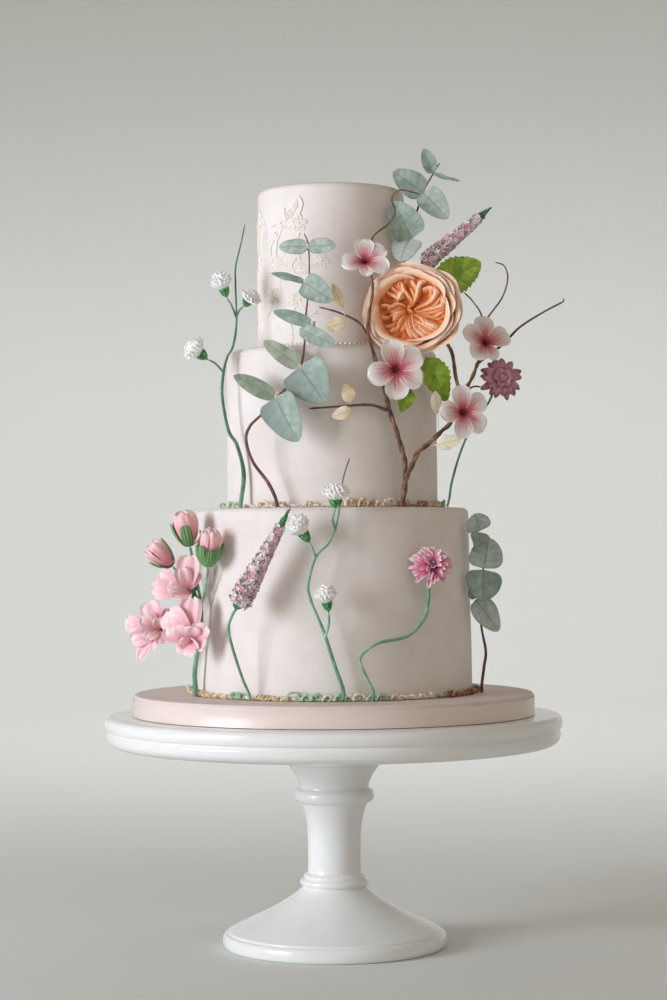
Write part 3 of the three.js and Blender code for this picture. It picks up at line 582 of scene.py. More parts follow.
PEDESTAL = [
    [0.1, 0], [83.4, 0, 1.5], [85.4, 2.4, 2.5], [85.4, 8.2, 3.2], [83.4, 10.8, 1.2], [81.8, 10.9, 0.4],
    [81.2, 12.6, 0.9], [79.2, 13.6, 1.5], [60, 22.5, 12], [46, 29.5, 9], [31, 39, 9], [24.9, 44.4, 3],
    [24.3, 45.6, 0.5], [25.8, 46.6, 1], [26.6, 48.6, 1.4], [25.6, 50.8, 1.0], [23.4, 51.4, 0.4],
    [23.8, 53.2, 0.8], [22.6, 55.0, 0.8], [20.6, 55.6, 0.6], [20.2, 60, 3], [20.2, 85, 14], [21.4, 97, 6],
    [24.6, 107, 5], [25.6, 109.3, 0.8], [28.4, 110, 1], [30.7, 112.6, 1.6], [30.7, 117, 1.6],
    [28.8, 119.6, 1], [26.6, 120, 0.5], [26.4, 122, 1.5], [27.6, 127, 5], [35.5, 139.5, 8],
    [49, 151.6, 1], [49, 152], [0.1, 152],
]
PLATE = [
    [0.1, PLATE_BOTTOM], [160, PLATE_BOTTOM, 6], [168, 154.2, 3], [171.8, 157.5, 3], [172.6, 162.6, 1.2],
    [171.4, 164.4, 0.8], [171.2, 165.4, 0.5], [172.8, 166.4, 0.8], [173.7, 169, 2], [173.7, 173.2, 2],
    [171.4, PLATE_TOP, 2.4], [0.1, PLATE_TOP],
]
ICED_BOARD = [
    [0.1, PLATE_TOP + GAP], [BOARD_RADIUS, PLATE_TOP + GAP, 0.4], [BOARD_RADIUS, BOARD_TOP - 1.2, 2],
    [BOARD_RADIUS - 1.2, BOARD_TOP, 2], [0.1, BOARD_TOP],
]


def one_turned(name, corners, paint):
    shape = Shape()
    shape.turned(soften(corners), ROUND)
    make(name, shape, [paint], 28)


def ribbon():
    """Satin ribbon round the board's edge, with a fine selvedge at its top and bottom."""
    inner, low, high = BOARD_RADIUS + GAP, PLATE_TOP + 0.5, PLATE_TOP + 14
    shape = Shape()
    edge = [[inner, high], [inner, low], [inner + 0.55, low], [inner + 0.6, low + 0.5],
            [inner + 0.42, low + 0.9], [inner + 0.5, (low + high) / 2], [inner + 0.42, high - 0.9],
            [inner + 0.6, high - 0.5], [inner + 0.55, high]]
    shape.turned(edge, ROUND, closed=True)
    make("board_ribbon", shape, [satin_paint()], 50)


one_turned("stand_pedestal", PEDESTAL, STAND)
one_turned("stand_plate", PLATE, STAND)
one_turned("cake_board", ICED_BOARD, icing_paint())
ribbon()


# ---------- tiers ----------

# Each tier's radius at its foot and its shoulder, then the heights of its foot and its top.
TIERS = {
    "bottom": (105.8, 103.7, BOARD_TOP, 332.7),
    "middle": (80.3, 79.8, 332.7, 451.7),
    "top": (56.0, 55.6, 451.7, 573.9),
}


def tier(level):
    """A cake tier covered in fondant, smoothed by hand, so that its wall and top waver a little."""
    foot, shoulder, base, top = TIERS[level]
    edge = 4.5
    heights = np.linspace(base + GAP, top - edge, 12)
    wall = [[foot + (shoulder - foot) * (h - base) / (top - edge - base), h] for h in heights]
    bend = [[shoulder - edge + edge * math.cos(a), top - edge + edge * math.sin(a)]
            for a in np.linspace(0.2, math.pi / 2, 7)]
    flat = [[r, top] for r in np.linspace(shoulder - edge - 6, 0.1, 5)]

    def uneven(turn, height):
        return 0.9975 + 0.0025 * sway(rings(60.0, turn, height), 45, 3)

    shape = Shape()
    shape.turned([[0.1, base + GAP], *wall, *bend, *flat], ROUND, shape=uneven)
    return shape


for lower in ("bottom", "middle"):
    make("tier_" + lower, tier(lower), [FONDANT], 60)


# ---------- lace on the top tier ----------

WALL = TIERS["top"][0]          # the radius at which the lace is piped
PIPING = 0.62                   # half thickness of a piped line


def piped_flower(size):
    """Five looped petals, each with a short line in it, round a dot."""
    curves = []
    t = np.linspace(0, 1, 15)
    for k in range(5):
        middle = math.radians(72 * k + 18)
        turn = middle + math.radians(27) * np.cos(math.pi * t)
        loop = rings(size * (0.16 + 0.84 * np.sin(math.pi * t) ** 0.6), turn)
        curves += [loop[:, :2], rings(np.linspace(0.3, 0.72, 4) * size, middle)[:, :2]]
    return curves


def piped_leaf(length, width):
    """A leaf's outline with its midrib and side veins, growing along +X."""
    t = np.linspace(0, 1, 10)
    half = width / 2 * np.sin(math.pi * t**0.85)
    curves = [np.stack([length * t, side * half], -1) for side in (1, -1)]
    curves.append(np.array([[-0.35 * length, 0], [0.2 * length, 0], [0.85 * length, 0]]))
    for share in (0.3, 0.5, 0.7):
        for side in (1, -1):
            tip = side * width * 0.33 * math.sin(math.pi * share)
            curves.append(np.array([[share * length, 0], [(share + 0.13) * length, tip]]))
    return curves


# Each flower: its angle from the front, height and size; each leaf: angle, height, length, width, turn.
PIPED_FLOWERS = [
    (-24.7, 543.8, 6), (-73.5, 551, 6), (-7.1, 515, 5), (-51.4, 512.5, 6.4), (-23.6, 509.7, 5),
    (-29.9, 487, 5.6), (-51.6, 491.5, 5.6), (-76, 519, 6), (-84, 489, 5.6), (-69, 470, 5.2), (-98, 540, 6),
    (-103, 505, 5.6), (-96, 466, 5),
]
PIPED_LEAVES = [
    (-35.7, 548.3, 10, 4.6, 52), (-38, 551, 6, 3, 110), (-29, 554, 7, 3.4, 75), (-41, 519.7, 8, 4, 200),
    (-14.7, 504.8, 7, 3.5, -150), (-43.4, 499, 12, 5, -95), (-23.7, 484.5, 7, 3.5, -25),
    (-17.3, 474, 6, 3, 160), (-31.7, 463, 9, 4, -100), (-63, 545, 9, 4, 130), (-68, 536, 9, 4, -110),
    (-62, 505, 8, 4, 170), (-70, 503, 9, 4, -60), (-60, 478, 9, 4, -120), (-78, 476, 9, 4, 80),
    (-47, 470, 8, 4, -70), (-86, 530, 9, 4, 60), (-90, 512, 9, 4, -120), (-92, 478, 8, 4, 30),
    (-17, 520, 6, 3, 140), (-46, 535, 7, 3.4, 150), (-56, 528, 7, 3.4, -140),
]
PIPED_LINES = [
    [(-53.4, 543.3), (-44, 545), (-38, 541), (-32, 541.3)], [(-49.6, 533), (-53.5, 528), (-53.6, 521)],
    [(-27.4, 518), (-31.4, 512.3), (-27.4, 505.4)], [(-46, 512.5), (-41, 514.5), (-35.9, 512.6)],
    [(-24.5, 537), (-27, 528), (-24, 517)], [(-12, 513), (-17, 512), (-19, 510)],
    [(-40, 543), (-46, 531), (-47, 519)], [(-29, 481), (-33, 472), (-31, 464)],
    [(-24.7, 550), (-22, 558), (-25, 564)], [(-7.3, 476.6), (-12, 477), (-17.3, 474)],
    [(-57, 509), (-66, 505), (-78, 511)], [(-56, 490), (-66, 486), (-79, 488)],
    [(-52, 486), (-58, 477), (-65, 471)], [(-72, 545), (-77, 535), (-76, 525)],
    [(-77, 513), (-83, 503), (-84, 495)], [(-74, 470), (-84, 470), (-92, 466)],
    [(-90, 489), (-97, 495), (-101, 500)], [(-79, 551), (-89, 549), (-94, 543)],
    [(-98, 533), (-103, 522), (-103, 511)],
]


def on_wall(curve, angle, height, turn):
    """A flat curve laid on the top tier's wall round a place."""
    flat = curve @ spin(turn)[:2, :2].T
    return [at(angle + math.degrees(x / WALL), height + y, WALL - 0.3) for x, y in flat]


def lace(shape):
    """Fine floral lace piped on the wall's left, in a generic pattern."""
    for angle, height, size in PIPED_FLOWERS:
        for curve in piped_flower(size):
            shape.tube(smooth(on_wall(curve, angle, height, 3 * angle), 0.9), PIPING * 0.9, 6, paint=1)
        dot(shape, at(angle, height, WALL), 0.85, 1)
    for angle, height, length, width, turn in PIPED_LEAVES:
        for curve in piped_leaf(length, width):
            shape.tube(smooth(on_wall(curve, angle, height, turn), 1.0), PIPING * 0.8, 6, paint=1)
    for places in PIPED_LINES:
        path = smooth([at(angle, height, WALL - 0.25) for angle, height in places], 1.0)
        shape.tube(path, PIPING, 6, paint=1)
        for place in path[5::7]:
            dot(shape, place + [0, 0, 1.5], 0.6, 1)


def bead_trail(shape):
    """Small piped beads round the foot of the top tier."""
    count, height, reach, radius = 104, 453.5, 57.3, 1.75
    for i in range(count):
        dot(shape, at(360 * i / count, height, reach), radius, 1, 0.92)


top_tier = tier("top")
lace(top_tier)
bead_trail(top_tier)
make("tier_top", top_tier, [FONDANT, piping_paint()], 60)


# ---------- borders of twisted tape ----------

# For the foot of a tier: the shades round it, (angle from the front, shade), whose back goes on like its
# sides; arches of tape over it, (angle, how far round, height, shade); and stretches where it is slim.
BORDERS = {
    "bottom": (
        [(-180, 0.1), (-110, 0.25), (-90, 0.66), (-85, 0.15), (-78, 0.04), (-44, 0.08), (-40, 0.52),
         (-36, 0.5), (-33, 0.05), (-16, 0.1), (-13, 0.55), (-2, 0.5), (8, 0.68), (19, 0.6), (25, 0.3),
         (40, 0.22), (48, 0.95), (88, 1.0), (100, 0.3), (180, 0.1)],
        [(-17.5, 5, 5.6, 0.52), (-12, 4, 3.9, 0.64), (-8, 3.4, 4.6, 0.54), (-4, 4, 3.4, 0.3),
         (0.5, 3.6, 4.2, 0.58), (4, 3.2, 3.4, 0.25), (7.5, 4.4, 4.4, 0.74), (12.5, 3.6, 3.2, 0.56),
         (16, 4, 3.8, 0.66), (22, 3, 3, 0.3), (-42, 4, 4.4, 0.5), (-90, 5, 5, 0.7), (52, 5, 4, 0.88),
         (64, 4, 4.4, 0.98), (150, 6, 5, 0.2), (-140, 7, 5, 0.3)],
        []),
    "middle": (
        [(-180, 0.25), (-100, 0.6), (-80, 0.55), (-62, 0.2), (-20, 0.28), (3, 0.22), (12, 0.06), (22, 0.12),
         (30, 0.2), (36, 0.9), (56, 0.9), (61, 0.1), (70, 0.12), (75, 0.5), (84, 0.5), (90, 0.9), (120, 0.25),
         (180, 0.25)],
        [(3, 4, 4.6, 0.3), (6.5, 3.4, 5.2, 0.24), (9, 4, 4.4, 0.86), (13, 4.4, 5, 0.1), (17.5, 4, 3.4, 0.02),
         (21.5, 4, 3.4, 0.26), (25.5, 3.4, 3.8, 0.22), (28, 4.4, 5, 0.24), (-40, 6, 3.8, 0.22),
         (-64, 5, 3.8, 0.5), (64, 5, 3.6, 0.1), (77, 4, 4.4, 0.5), (120, 7, 5, 0.2), (-120, 7, 5, 0.5)],
        [(-75, 2), (33, 62)]),
}
STRANDS = [(0.75, 0.0), (0.65, 0.1), (0.55, -0.08), (0.45, 0.05), (0.7, -0.03)]  # half thickness, shade
SLIM = 0.72                     # how thick and high the tape is where it is slim


def coil(shape, angle, length, ring, base, shades, draw):
    """A few turns of thin tape round the twisted ring."""
    turns = max(2, int(length / 2.4))
    t = np.linspace(0, 1, turns * 10)
    swing = 2 * math.pi * turns * t + draw.uniform(0, 6)
    radius = draw.uniform(1.6, 2.2)
    along = angle + math.degrees(1 / ring) * length * (t - 0.5)
    path = [at(a, base + 2.5 + radius * math.sin(s), ring + radius * math.cos(s))
            for a, s in zip(along, swing)]
    shade = np.interp(angle, *zip(*shades)) + draw.uniform(-0.06, 0.12)
    shape.tube(path, draw.uniform(0.45, 0.75), 6, shade)


def border(level):
    """Thin strands of crinkled tape twisted together round a tier's foot, with coils and small arches."""
    shades, arches, slims = BORDERS[level]
    foot, _, base, _ = TIERS[level]
    draw = np.random.default_rng(13)
    ring = foot + 3.2
    twists = int(2 * math.pi * ring / 9)
    turn = circle(twists * 12)
    angle = np.degrees(turn) - 180
    place = rings(ring, turn)
    shade = np.interp(angle, *zip(*shades))
    slim = np.ones_like(angle)
    for first, last in slims:
        slim[(angle > first) & (angle < last)] = SLIM
    sides = circle(8)
    shape = Shape()
    for i, (thick, tint) in enumerate(STRANDS):
        lump = np.clip(1 + 0.4 * sway(place, 13, 5 + i), 0.35, 1.7)
        swing = (1 if i % 2 else -1) * twists * turn + 1.3 * i + 1.5 * sway(place, 19, i)
        away = (0.6 + 0.5 * lump) * np.cos(swing)
        high = (1.5 + 0.2 * lump + (0.4 + 0.6 * lump) * np.sin(swing)) * slim
        path = [at(a, base + GAP + h, ring + w) for a, h, w in zip(angle, high, away)]
        size = thick * (0.5 + 0.5 * lump) * slim
        ridge = 0.3 * np.cos(2 * sides + 0.5 * swing[:, None])
        crinkle = 1 + ridge + 0.12 * np.sin(5 * sides + 9 * turn[:, None])
        shape.tube(path, size[:, None] * crinkle, 8, (shade + tint)[:, None], closed=True)
    for _ in range(int(twists * 0.5)):
        coil(shape, draw.uniform(-180, 180), draw.uniform(4, 10), ring, base, shades, draw)
    t = np.linspace(0, 1, 26)
    for start, far, high, tint in arches:
        bulge = 0.13 + 0.09 * math.sin(7 * start)
        around = start + far * (t - bulge * np.sin(2 * math.pi * t))
        rise = base + 1.0 + high * np.sin(math.pi * t) ** 0.8
        path = [at(*place) for place in zip(around, rise, ring + 1.6 + np.sin(4 * t))]
        crinkle = 1 + 0.22 * np.cos(2 * sides + 9 * t[:, None])
        shape.tube(path, (0.95 + 0.2 * np.sin(17 * t + start))[:, None] * crinkle, 8, tint)
    make("border_" + level, shape, [BORDER], 80)


for lower in BORDERS:
    border(lower)


# ---------- wires and twigs ----------

# Each sprig is a list of wires: a route of [angle, height, reach], then its half thickness at each end.
SPRIGS = {
    "blossom_branch": [
        ([[33.5, 333.3, 93], [33.5, 341, 93.5], [34.5, 358, 94.5], [32.5, 376.5, 93.5], [27.5, 401.5, 91.5],
          [24.5, 420.5, 91], [20.3, 441, 90], [17.2, 459.5, 90], [17.6, 472.5, 90.5], [19.2, 488, 91],
          [19.9, 500, 86], [20.5, 507, 78.5]], 2.5, 1.1),
        ([[26, 403, 91.5], [18, 406.5, 91.5], [7.5, 406, 90], [-1, 405, 90], [-10.5, 404, 92.5]], 1.3, 0.7),
        ([[18, 458, 86], [13, 467.5, 84.5], [3, 474.5, 82.5], [-6.5, 478.5, 80.5]], 1.0, 0.6),
        ([[20.5, 505, 79], [21.5, 516, 75], [24.5, 531, 74.5], [33, 540.5, 76.5], [37.5, 550, 77.5],
          [37, 560, 74.5], [42.5, 567, 75.5], [53, 565, 82.5]], 0.9, 0.5),
    ],
    "side_branch": [
        ([[32.9, 352, 97.7], [34.2, 358.5, 99], [36.2, 365.5, 100.5], [38, 372.5, 101.5],
          [42.5, 379, 104.5], [47.5, 388, 108.5], [51, 394, 111.5],
          [55.5, 406, 113.5], [58.5, 418, 115], [61.5, 428.5, 118], [64.5, 441, 120.5]], 2.1, 1.5),
        ([[64, 439, 120], [68.5, 452.5, 135.5], [72, 466.5, 147.5], [75.5, 479, 165.5], [77, 485.5, 177],
          [77.1, 488.5, 177.2]], 1.2, 0.6),
        ([[59, 418, 115.5], [61.5, 421.5, 119], [64.5, 421.5, 123]], 0.8, 0.6),
        ([[64.4, 440, 120.3], [67.5, 456, 119.5], [69, 474, 120], [69, 486.5, 112.5], [69, 493.5, 105.5]],
         0.9, 0.5),
        ([[68, 463, 118.5], [69.5, 473, 123.5], [72.5, 489, 133.5], [74, 503.5, 137], [74.5, 513, 134],
          [74, 516, 127]], 0.8, 0.5),
        ([[57, 411.5, 114], [59, 428, 107], [60.5, 449, 101.5], [57, 461, 93]], 1.5, 1.3),
        ([[32.9, 352, 97.7], [32.7, 345, 97], [32.6, 338, 96]], 1.85, 0.5),
    ],
    "astrantia_stem": [
        ([[64, 333.3, 95], [63.5, 339, 97], [62.5, 351.5, 100], [62, 370.5, 106.5], [63, 388, 113.5],
          [64.5, 401.5, 120.5], [66.5, 408.5, 125.5], [68.3, 417.5, 129]], 0.9, 0.8),
    ],
    "upper_eucalyptus_stem": [
        ([[56, 511, 64.5], [58.5, 535.5, 69], [62.5, 557, 73.5], [64.5, 568, 76], [68, 582.5, 82.5],
          [70, 591.5, 87.5]], 1.1, 0.5),
    ],
    "left_eucalyptus_stem": [
        ([[-26, 333.3, 91.5], [-27, 340.5, 92], [-30, 351.5, 94.5], [-35, 366.5, 101], [-36.5, 382, 105],
          [-35, 392, 103.5], [-30.5, 400.5, 100], [-24.5, 412.5, 96.5], [-20, 420.5, 93.5],
          [-14.5, 434.5, 90.5], [-13, 450.5, 88], [-13, 465, 86], [-11.5, 496, 81.5], [-12, 522.5, 79],
          [-14.5, 533, 78.5]], 1.4, 0.5),
    ],
    "left_spray_stem": [
        ([[-49.5, 333.3, 89.5], [-50, 358, 85.5], [-53.5, 379, 87.5], [-57, 390.5, 91.5], [-60, 415.5, 94],
          [-61, 433.5, 92], [-60.5, 445.5, 89], [-59, 453.5, 85.5], [-59, 471, 82.5], [-60.5, 499.5, 82],
          [-61.5, 513.5, 81], [-61.5, 529, 77], [-61.5, 545.5, 73]], 1.7, 0.5),
        ([[-59.3, 475, 82.4], [-60.5, 484, 85.5], [-61.5, 489.5, 88.5]], 0.8, 0.7),
        ([[-59.3, 475, 82.4], [-58, 480.5, 80.5], [-56, 483, 78.5]], 0.8, 0.7),
        ([[-61, 434, 92], [-62, 440.5, 98], [-63, 443.5, 103.5]], 0.8, 0.7),
    ],
    "center_spray_stem": [
        ([[3, 193.6, 112], [3.5, 201, 112], [0, 222, 114], [-3.5, 244, 115], [-8, 267, 117],
          [-8.5, 278.5, 117.5], [-6, 296.5, 116.5], [-1.5, 306.5, 116], [1, 317, 114.5], [2.5, 331, 111],
          [4.1, 352, 106], [7, 368, 103]], 1.6, 0.5),
        ([[1, 316, 114.5], [0, 324, 116.5], [1, 331.5, 117]], 0.9, 0.8),
        ([[-6, 296.5, 116.5], [-7, 302.5, 117.5], [-8, 307, 118]], 0.9, 0.8),
        ([[-3, 239, 115], [-1.5, 248.5, 118], [-1.5, 257.5, 120]], 0.9, 0.8),
    ],
    "low_spike_stem": [
        ([[-32, 193.6, 113.5], [-32.5, 198.5, 113.5], [-33.5, 210, 119], [-35, 234.5, 127.5],
          [-35, 247, 130.5], [-33, 257, 131], [-31.3, 260.5, 130.8]], 1.0, 1.0),
    ],
    "cornflower_stem": [
        ([[14, 193.6, 114.5], [14.5, 200.5, 114.5], [12.5, 208.5, 114.5], [10, 219.5, 114.5],
          [10, 226.5, 115], [16, 235, 116.5], [27, 239.5, 116], [33.5, 251.5, 118], [35.5, 265, 118],
          [36, 279, 117.5]], 0.8, 1.45),
    ],
    "pink_spray_stem": [
        ([[-66, 193.6, 112.5], [-65.8, 200, 112.5], [-65, 211.5, 113.5], [-63.5, 227, 112.5],
          [-61, 246.5, 111.5], [-60, 260.5, 112.5], [-61, 280, 115], [-61.5, 296, 118], [-62, 305, 119.5]],
         2.0, 1.1),
        ([[-60, 260, 112.5], [-56.5, 272.5, 113], [-53, 285, 115], [-52, 290, 116.5]], 1.1, 0.9),
        ([[-61, 278, 114.5], [-66, 281, 117], [-70, 285, 122], [-70.3, 290.5, 127]], 1.0, 0.9),
        ([[-60.1, 258, 112.3], [-61.5, 267, 114.5], [-62.5, 275.5, 117.5]], 1.0, 0.9),
        ([[-64, 222, 113], [-65, 234, 118.5], [-66.5, 241, 125]], 1.2, 1.0),
    ],
    "low_eucalyptus_stem": [
        ([[78, 193.6, 114], [78, 199, 114], [77.5, 213.5, 116], [77, 225, 117.5], [76, 245, 114.5],
          [75, 261, 116.5], [74, 286.5, 117], [73.5, 299.5, 115], [72.5, 314.5, 113.5]], 1.3, 0.6),
    ],
}
TWISTED = 1.9                   # a twig at least this thick is two wires twisted together
PITCH = 23.0                    # the length of one full turn of such a twist


def strand(shape, path, radius, wrap, draw):
    """A wire bound with tape, whose overlaps wind round it as a low ridge."""
    sides = 9
    ridge = 1 + 0.09 * np.sin(2 * math.pi * run_along(path)[:, None] / wrap - circle(sides))
    knobs = 1 + 0.08 * sway(path, 7, int(draw * 50)) + 0.05 * sway(path, 2.2, 9)
    shape.tube(path, radius[:, None] * ridge * knobs[:, None], sides, draw)


def sprig(name):
    """A stem or branch: its wires thin out soon after the foot and end in a blunt tip."""
    shape = Shape()
    slot = "bark_tape" if "branch" in name else "eucalyptus_wire" if "eucalyptus" in name else "green_wire"
    step = 1.1
    for i, (route, thick, thin) in enumerate(SPRIGS[name]):
        path = smooth([at(*place) for place in route], step)
        left = np.arange(len(path))[::-1]
        radius = thin + (thick - thin) * (left / len(path)) ** 1.35
        radius = radius * np.minimum(1, 0.3 + 0.3 * left)
        if slot != "bark_tape" or thick < TWISTED:
            strand(shape, path, radius, 2.6, 0.1 + 0.13 * i)
            continue
        ahead = np.gradient(path, axis=0)
        side = unit(np.cross(ahead, [0.2, 0.9, 0.3]))
        other = unit(np.cross(ahead, side))
        turn = 2 * math.pi * step * (len(path) - left) / PITCH + 0.8 * sway(path, 30, 3)
        for k in (0, 1):
            swing = (turn + math.pi * k)[:, None]
            shift = 0.34 * radius[:, None] * (np.cos(swing) * side + np.sin(swing) * other)
            strand(shape, path + shift, radius * 0.7, 2.7, 0.2 + 0.5 * k)
    make(name, shape, [TAPES[slot]], 80)


for sprig_name in SPRIGS:
    sprig(sprig_name)


# ---------- leaves ----------

def leaf(shape, base, tip, width, draw, face=None, tilt=0, off=0.0, fold=0.0, bow=0.0, wave=0.0, teeth=0,
         stalk=0.0, curl=0.0, pinch=0.72, blunt=0.7, paint=0, lobe=0.0):
    """A leaf between two places that looks towards face: tilt turns it about its length, fold raises its
    edges, bow lifts its middle, wave ripples its edges, teeth serrate them, and lobe dents its far end."""
    turn = math.radians((base[0] + tip[0]) / 2 if face is None else face)
    outward = np.array([math.sin(turn), -math.cos(turn), 0])
    start, end = at(*base) + off * outward, at(*tip) + off * outward
    along = unit(end - start)
    side = unit(np.cross(along, outward))
    normal = np.cross(side, along)
    a = math.radians(tilt)
    across, above = side * math.cos(a) - normal * math.sin(a), normal * math.cos(a) + side * math.sin(a)
    share = np.linspace(0, 1, 44 if teeth else 20)[:, None]
    green = np.clip((share - stalk) / (1 - stalk), 0, 1)
    half = width / 2 * np.maximum(0.05, np.sin(math.pi * green**pinch) ** blunt)
    if teeth:
        half = half * (1 + 0.16 * (0.5 - np.modf(green * teeth)[0]) * (green > 0.04) * (green < 0.98))
    v = np.linspace(-1, 1, 11)
    lift = fold * (half * np.abs(v) / (width / 2)) ** 1.6 + bow * np.sin(math.pi * share)
    lift = lift + wave * v**2 * np.sin(share * 9 + draw * 6 + 1.2 * np.sign(v)) * np.sin(math.pi * share)
    lift = lift - curl * share**3
    length = np.linalg.norm(end - start)
    reach = share * length - lobe * length * np.exp(-(v / 0.25) ** 2) * share**6
    middle = start + reach[..., None] * along + (half * v)[..., None] * across + lift[..., None] * above
    shape.sheet(middle, 0.7, draw, paint)


def leaves(kind, name, items):
    """A leaf or a pair of them; the left spray's pairs are bound on with a few turns of pale thread."""
    shape = Shape()
    for i, (base, tip, width, look) in enumerate(items):
        leaf(shape, base, tip, width, **{"draw": (0.37 * i + 0.17 * len(name)) % 1, **look})
    if name.startswith("left"):
        turn = np.linspace(0, 8 * math.pi, 60)
        coils = np.stack([1.7 * np.cos(turn), 2.9 * np.sin(turn), 0.13 * (turn - 4 * math.pi)], -1)
        shape.tube(coils + at(*items[0][0]), 0.5, 6, paint=1)
    make(name, shape, [LEAF_PAINTS[kind], THREAD, LEAF_PAINTS["olive_leaf"]], 60)


# Each leaf runs from one place to another, with its width and its look, in which paint 2 is the olive one.
CLASP = {"off": 2.3, "wave": 0.9, "bow": 1.0, "blunt": 0.5}
# Folded leaves with painted shade: their draw below zero paints one half of each cooler and darker
FOLDED_PAINTED_SHADE = {"fold": 5, "pinch": 0.5, "draw": -0.2}
LOW = {"off": 2.8, "face": 15, "fold": 1.5, "wave": 1.0, "blunt": 0.52, "pinch": 0.66}
HIGH = {**CLASP, "face": 0}
SERRATED = {"teeth": 9, "fold": 3.5, "wave": 1.6, "blunt": 0.62, "stalk": 0.03}
CREAM = {"stalk": 0.12, "wave": 0.7, "bow": 0.8, "blunt": 0.62}
LEAVES = {
    "eucalyptus_leaf": {
        "left_eucalyptus_leaves_1": [
            ([-12, 522.5, 79], [-27, 523, 82], 12, {**CLASP, "tilt": 10, "draw": 0.8}),
            ([-12, 522.5, 79], [2.5, 523, 82], 12, {**CLASP, "tilt": -10, "draw": 0.7})],
        "left_eucalyptus_leaves_2": [
            ([-13, 496.5, 83.5], [-29.5, 503.5, 87], 6.5, {**CLASP, "tilt": 35}),
            ([-14, 496.5, 83.5], [1, 482, 87.5], 19, {**CLASP, "fold": 3, "pinch": 0.55})],
        "left_eucalyptus_leaves_3": [
            ([-9, 465.5, 88], [-27.5, 475.5, 89.5], 10, {**CLASP, "tilt": 15}),
            ([-15, 462, 88], [2, 449.5, 91.5], 12.5, {**CLASP, "fold": 1})],
        "left_eucalyptus_leaves_4": [
            ([-14.5, 434.5, 90.5], [-31.5, 454, 93], 13, {**CLASP, "tilt": 20, "paint": 2, "draw": 1.0}),
            ([-14.5, 434.5, 90.5], [-3, 408.5, 94], 34, {**CLASP, **FOLDED_PAINTED_SHADE, "lobe": 0.06})],
        "left_eucalyptus_leaves_5": [
            ([-24.5, 412.5, 96.5], [-44, 429.5, 101], 13, {**CLASP, "tilt": 20, "paint": 2}),
            ([-24.5, 412.5, 96.5], [-14, 380, 98], 29, {**CLASP, **FOLDED_PAINTED_SHADE})],
        "upper_eucalyptus_leaves_1": [
            ([68, 583, 82.5], [64.5, 601, 77], 11, {**HIGH, "fold": 2}),
            ([68, 583, 82.5], [74, 577.5, 101], 3.5, {**HIGH, "tilt": 40})],
        "upper_eucalyptus_leaves_2": [
            ([64.5, 568, 76.5], [53, 583.5, 58.5], 20, {**HIGH, "off": 3.6, "fold": 2, "pinch": 0.6}),
            ([64.5, 568, 76.5], [65, 547.5, 96], 20, {**HIGH, "off": 3.4, "fold": 4, "pinch": 0.6})],
        "upper_eucalyptus_leaves_3": [
            ([59.5, 533.5, 70], [51, 561, 60], 26, {**HIGH, "off": 2.8, "fold": 6, "pinch": 0.55}),
            # painted light: this leaf's draw of 1.8 paints it paler, so that it reads as lit though it lies
            # in the tier's shade
            ([59.5, 533.5, 70], [51.5, 515.5, 67.5], 25,
             {**HIGH, "off": 2.8, "face": -28, "fold": 1, "pinch": 0.6, "draw": 1.8})],
        "low_eucalyptus_leaves_1": [
            ([71, 315, 115], [68, 328, 113.5], 20, {**LOW, "off": 2.3}),
            ([71, 314, 115], [67, 300, 118], 15, {**LOW, "off": 2.3})],
        "low_eucalyptus_leaves_2": [
            ([73.5, 287, 116.5], [72.5, 310, 121.5], 27, LOW),
            ([73.5, 286, 116.5], [70.5, 263, 117.5], 29, LOW)],
        "low_eucalyptus_leaves_3": [
            ([73.7, 264, 110.5], [75, 240, 127], 19, LOW),
            ([73.7, 265, 110.5], [72, 273, 106.5], 9, LOW)],
    },
    "rose_leaf": {
        "rose_leaf_1": [([58, 497.5, 92], [65.5, 514, 122], 27, {**SERRATED, "face": 10, "curl": 1.5})],
        "rose_leaf_2": [([47.5, 443, 93.5], [55, 410.5, 104], 21, {**SERRATED, "face": 20, "curl": 2})],
        "rose_leaf_3": [([33.5, 421, 99], [30, 401, 100], 15, {**SERRATED, "teeth": 7, "fold": 2})],
    },
    "cream_leaf": {
        "cream_leaves_1": [
            ([6.5, 471.5, 86.5], [0.5, 495, 85.5], 8.5, {**CREAM, "stalk": 0.25, "face": 25}),
            ([7.5, 467, 86.5], [-2.5, 462.5, 87.5], 11.5, CREAM)],
        "cream_leaves_2": [
            ([8.5, 407, 93], [6, 421.5, 92.5], 10, CREAM),
            ([9.5, 403.5, 93], [0, 397.5, 94], 9.5, CREAM)],
        "cream_leaf_3": [
            ([45.5, 388, 109], [45, 417.5, 106.5], 9, {**CREAM, "face": 20, "stalk": 0.45, "draw": 1.8})],
        # painted light: this leaf's draw of 1.8 paints it paler, so that it reads as lit though it lies on
        # the cake's shaded right
        "cream_leaf_4": [
            ([43, 377, 106], [50.5, 382, 122.5], 11, {**CREAM, "face": 20, "stalk": 0.2, "draw": 1.8})],
    },
}
for leaf_kind, sprays in LEAVES.items():
    for leaf_name, pair in sprays.items():
        leaves(leaf_kind, leaf_name, pair)


# ---------- petals ----------

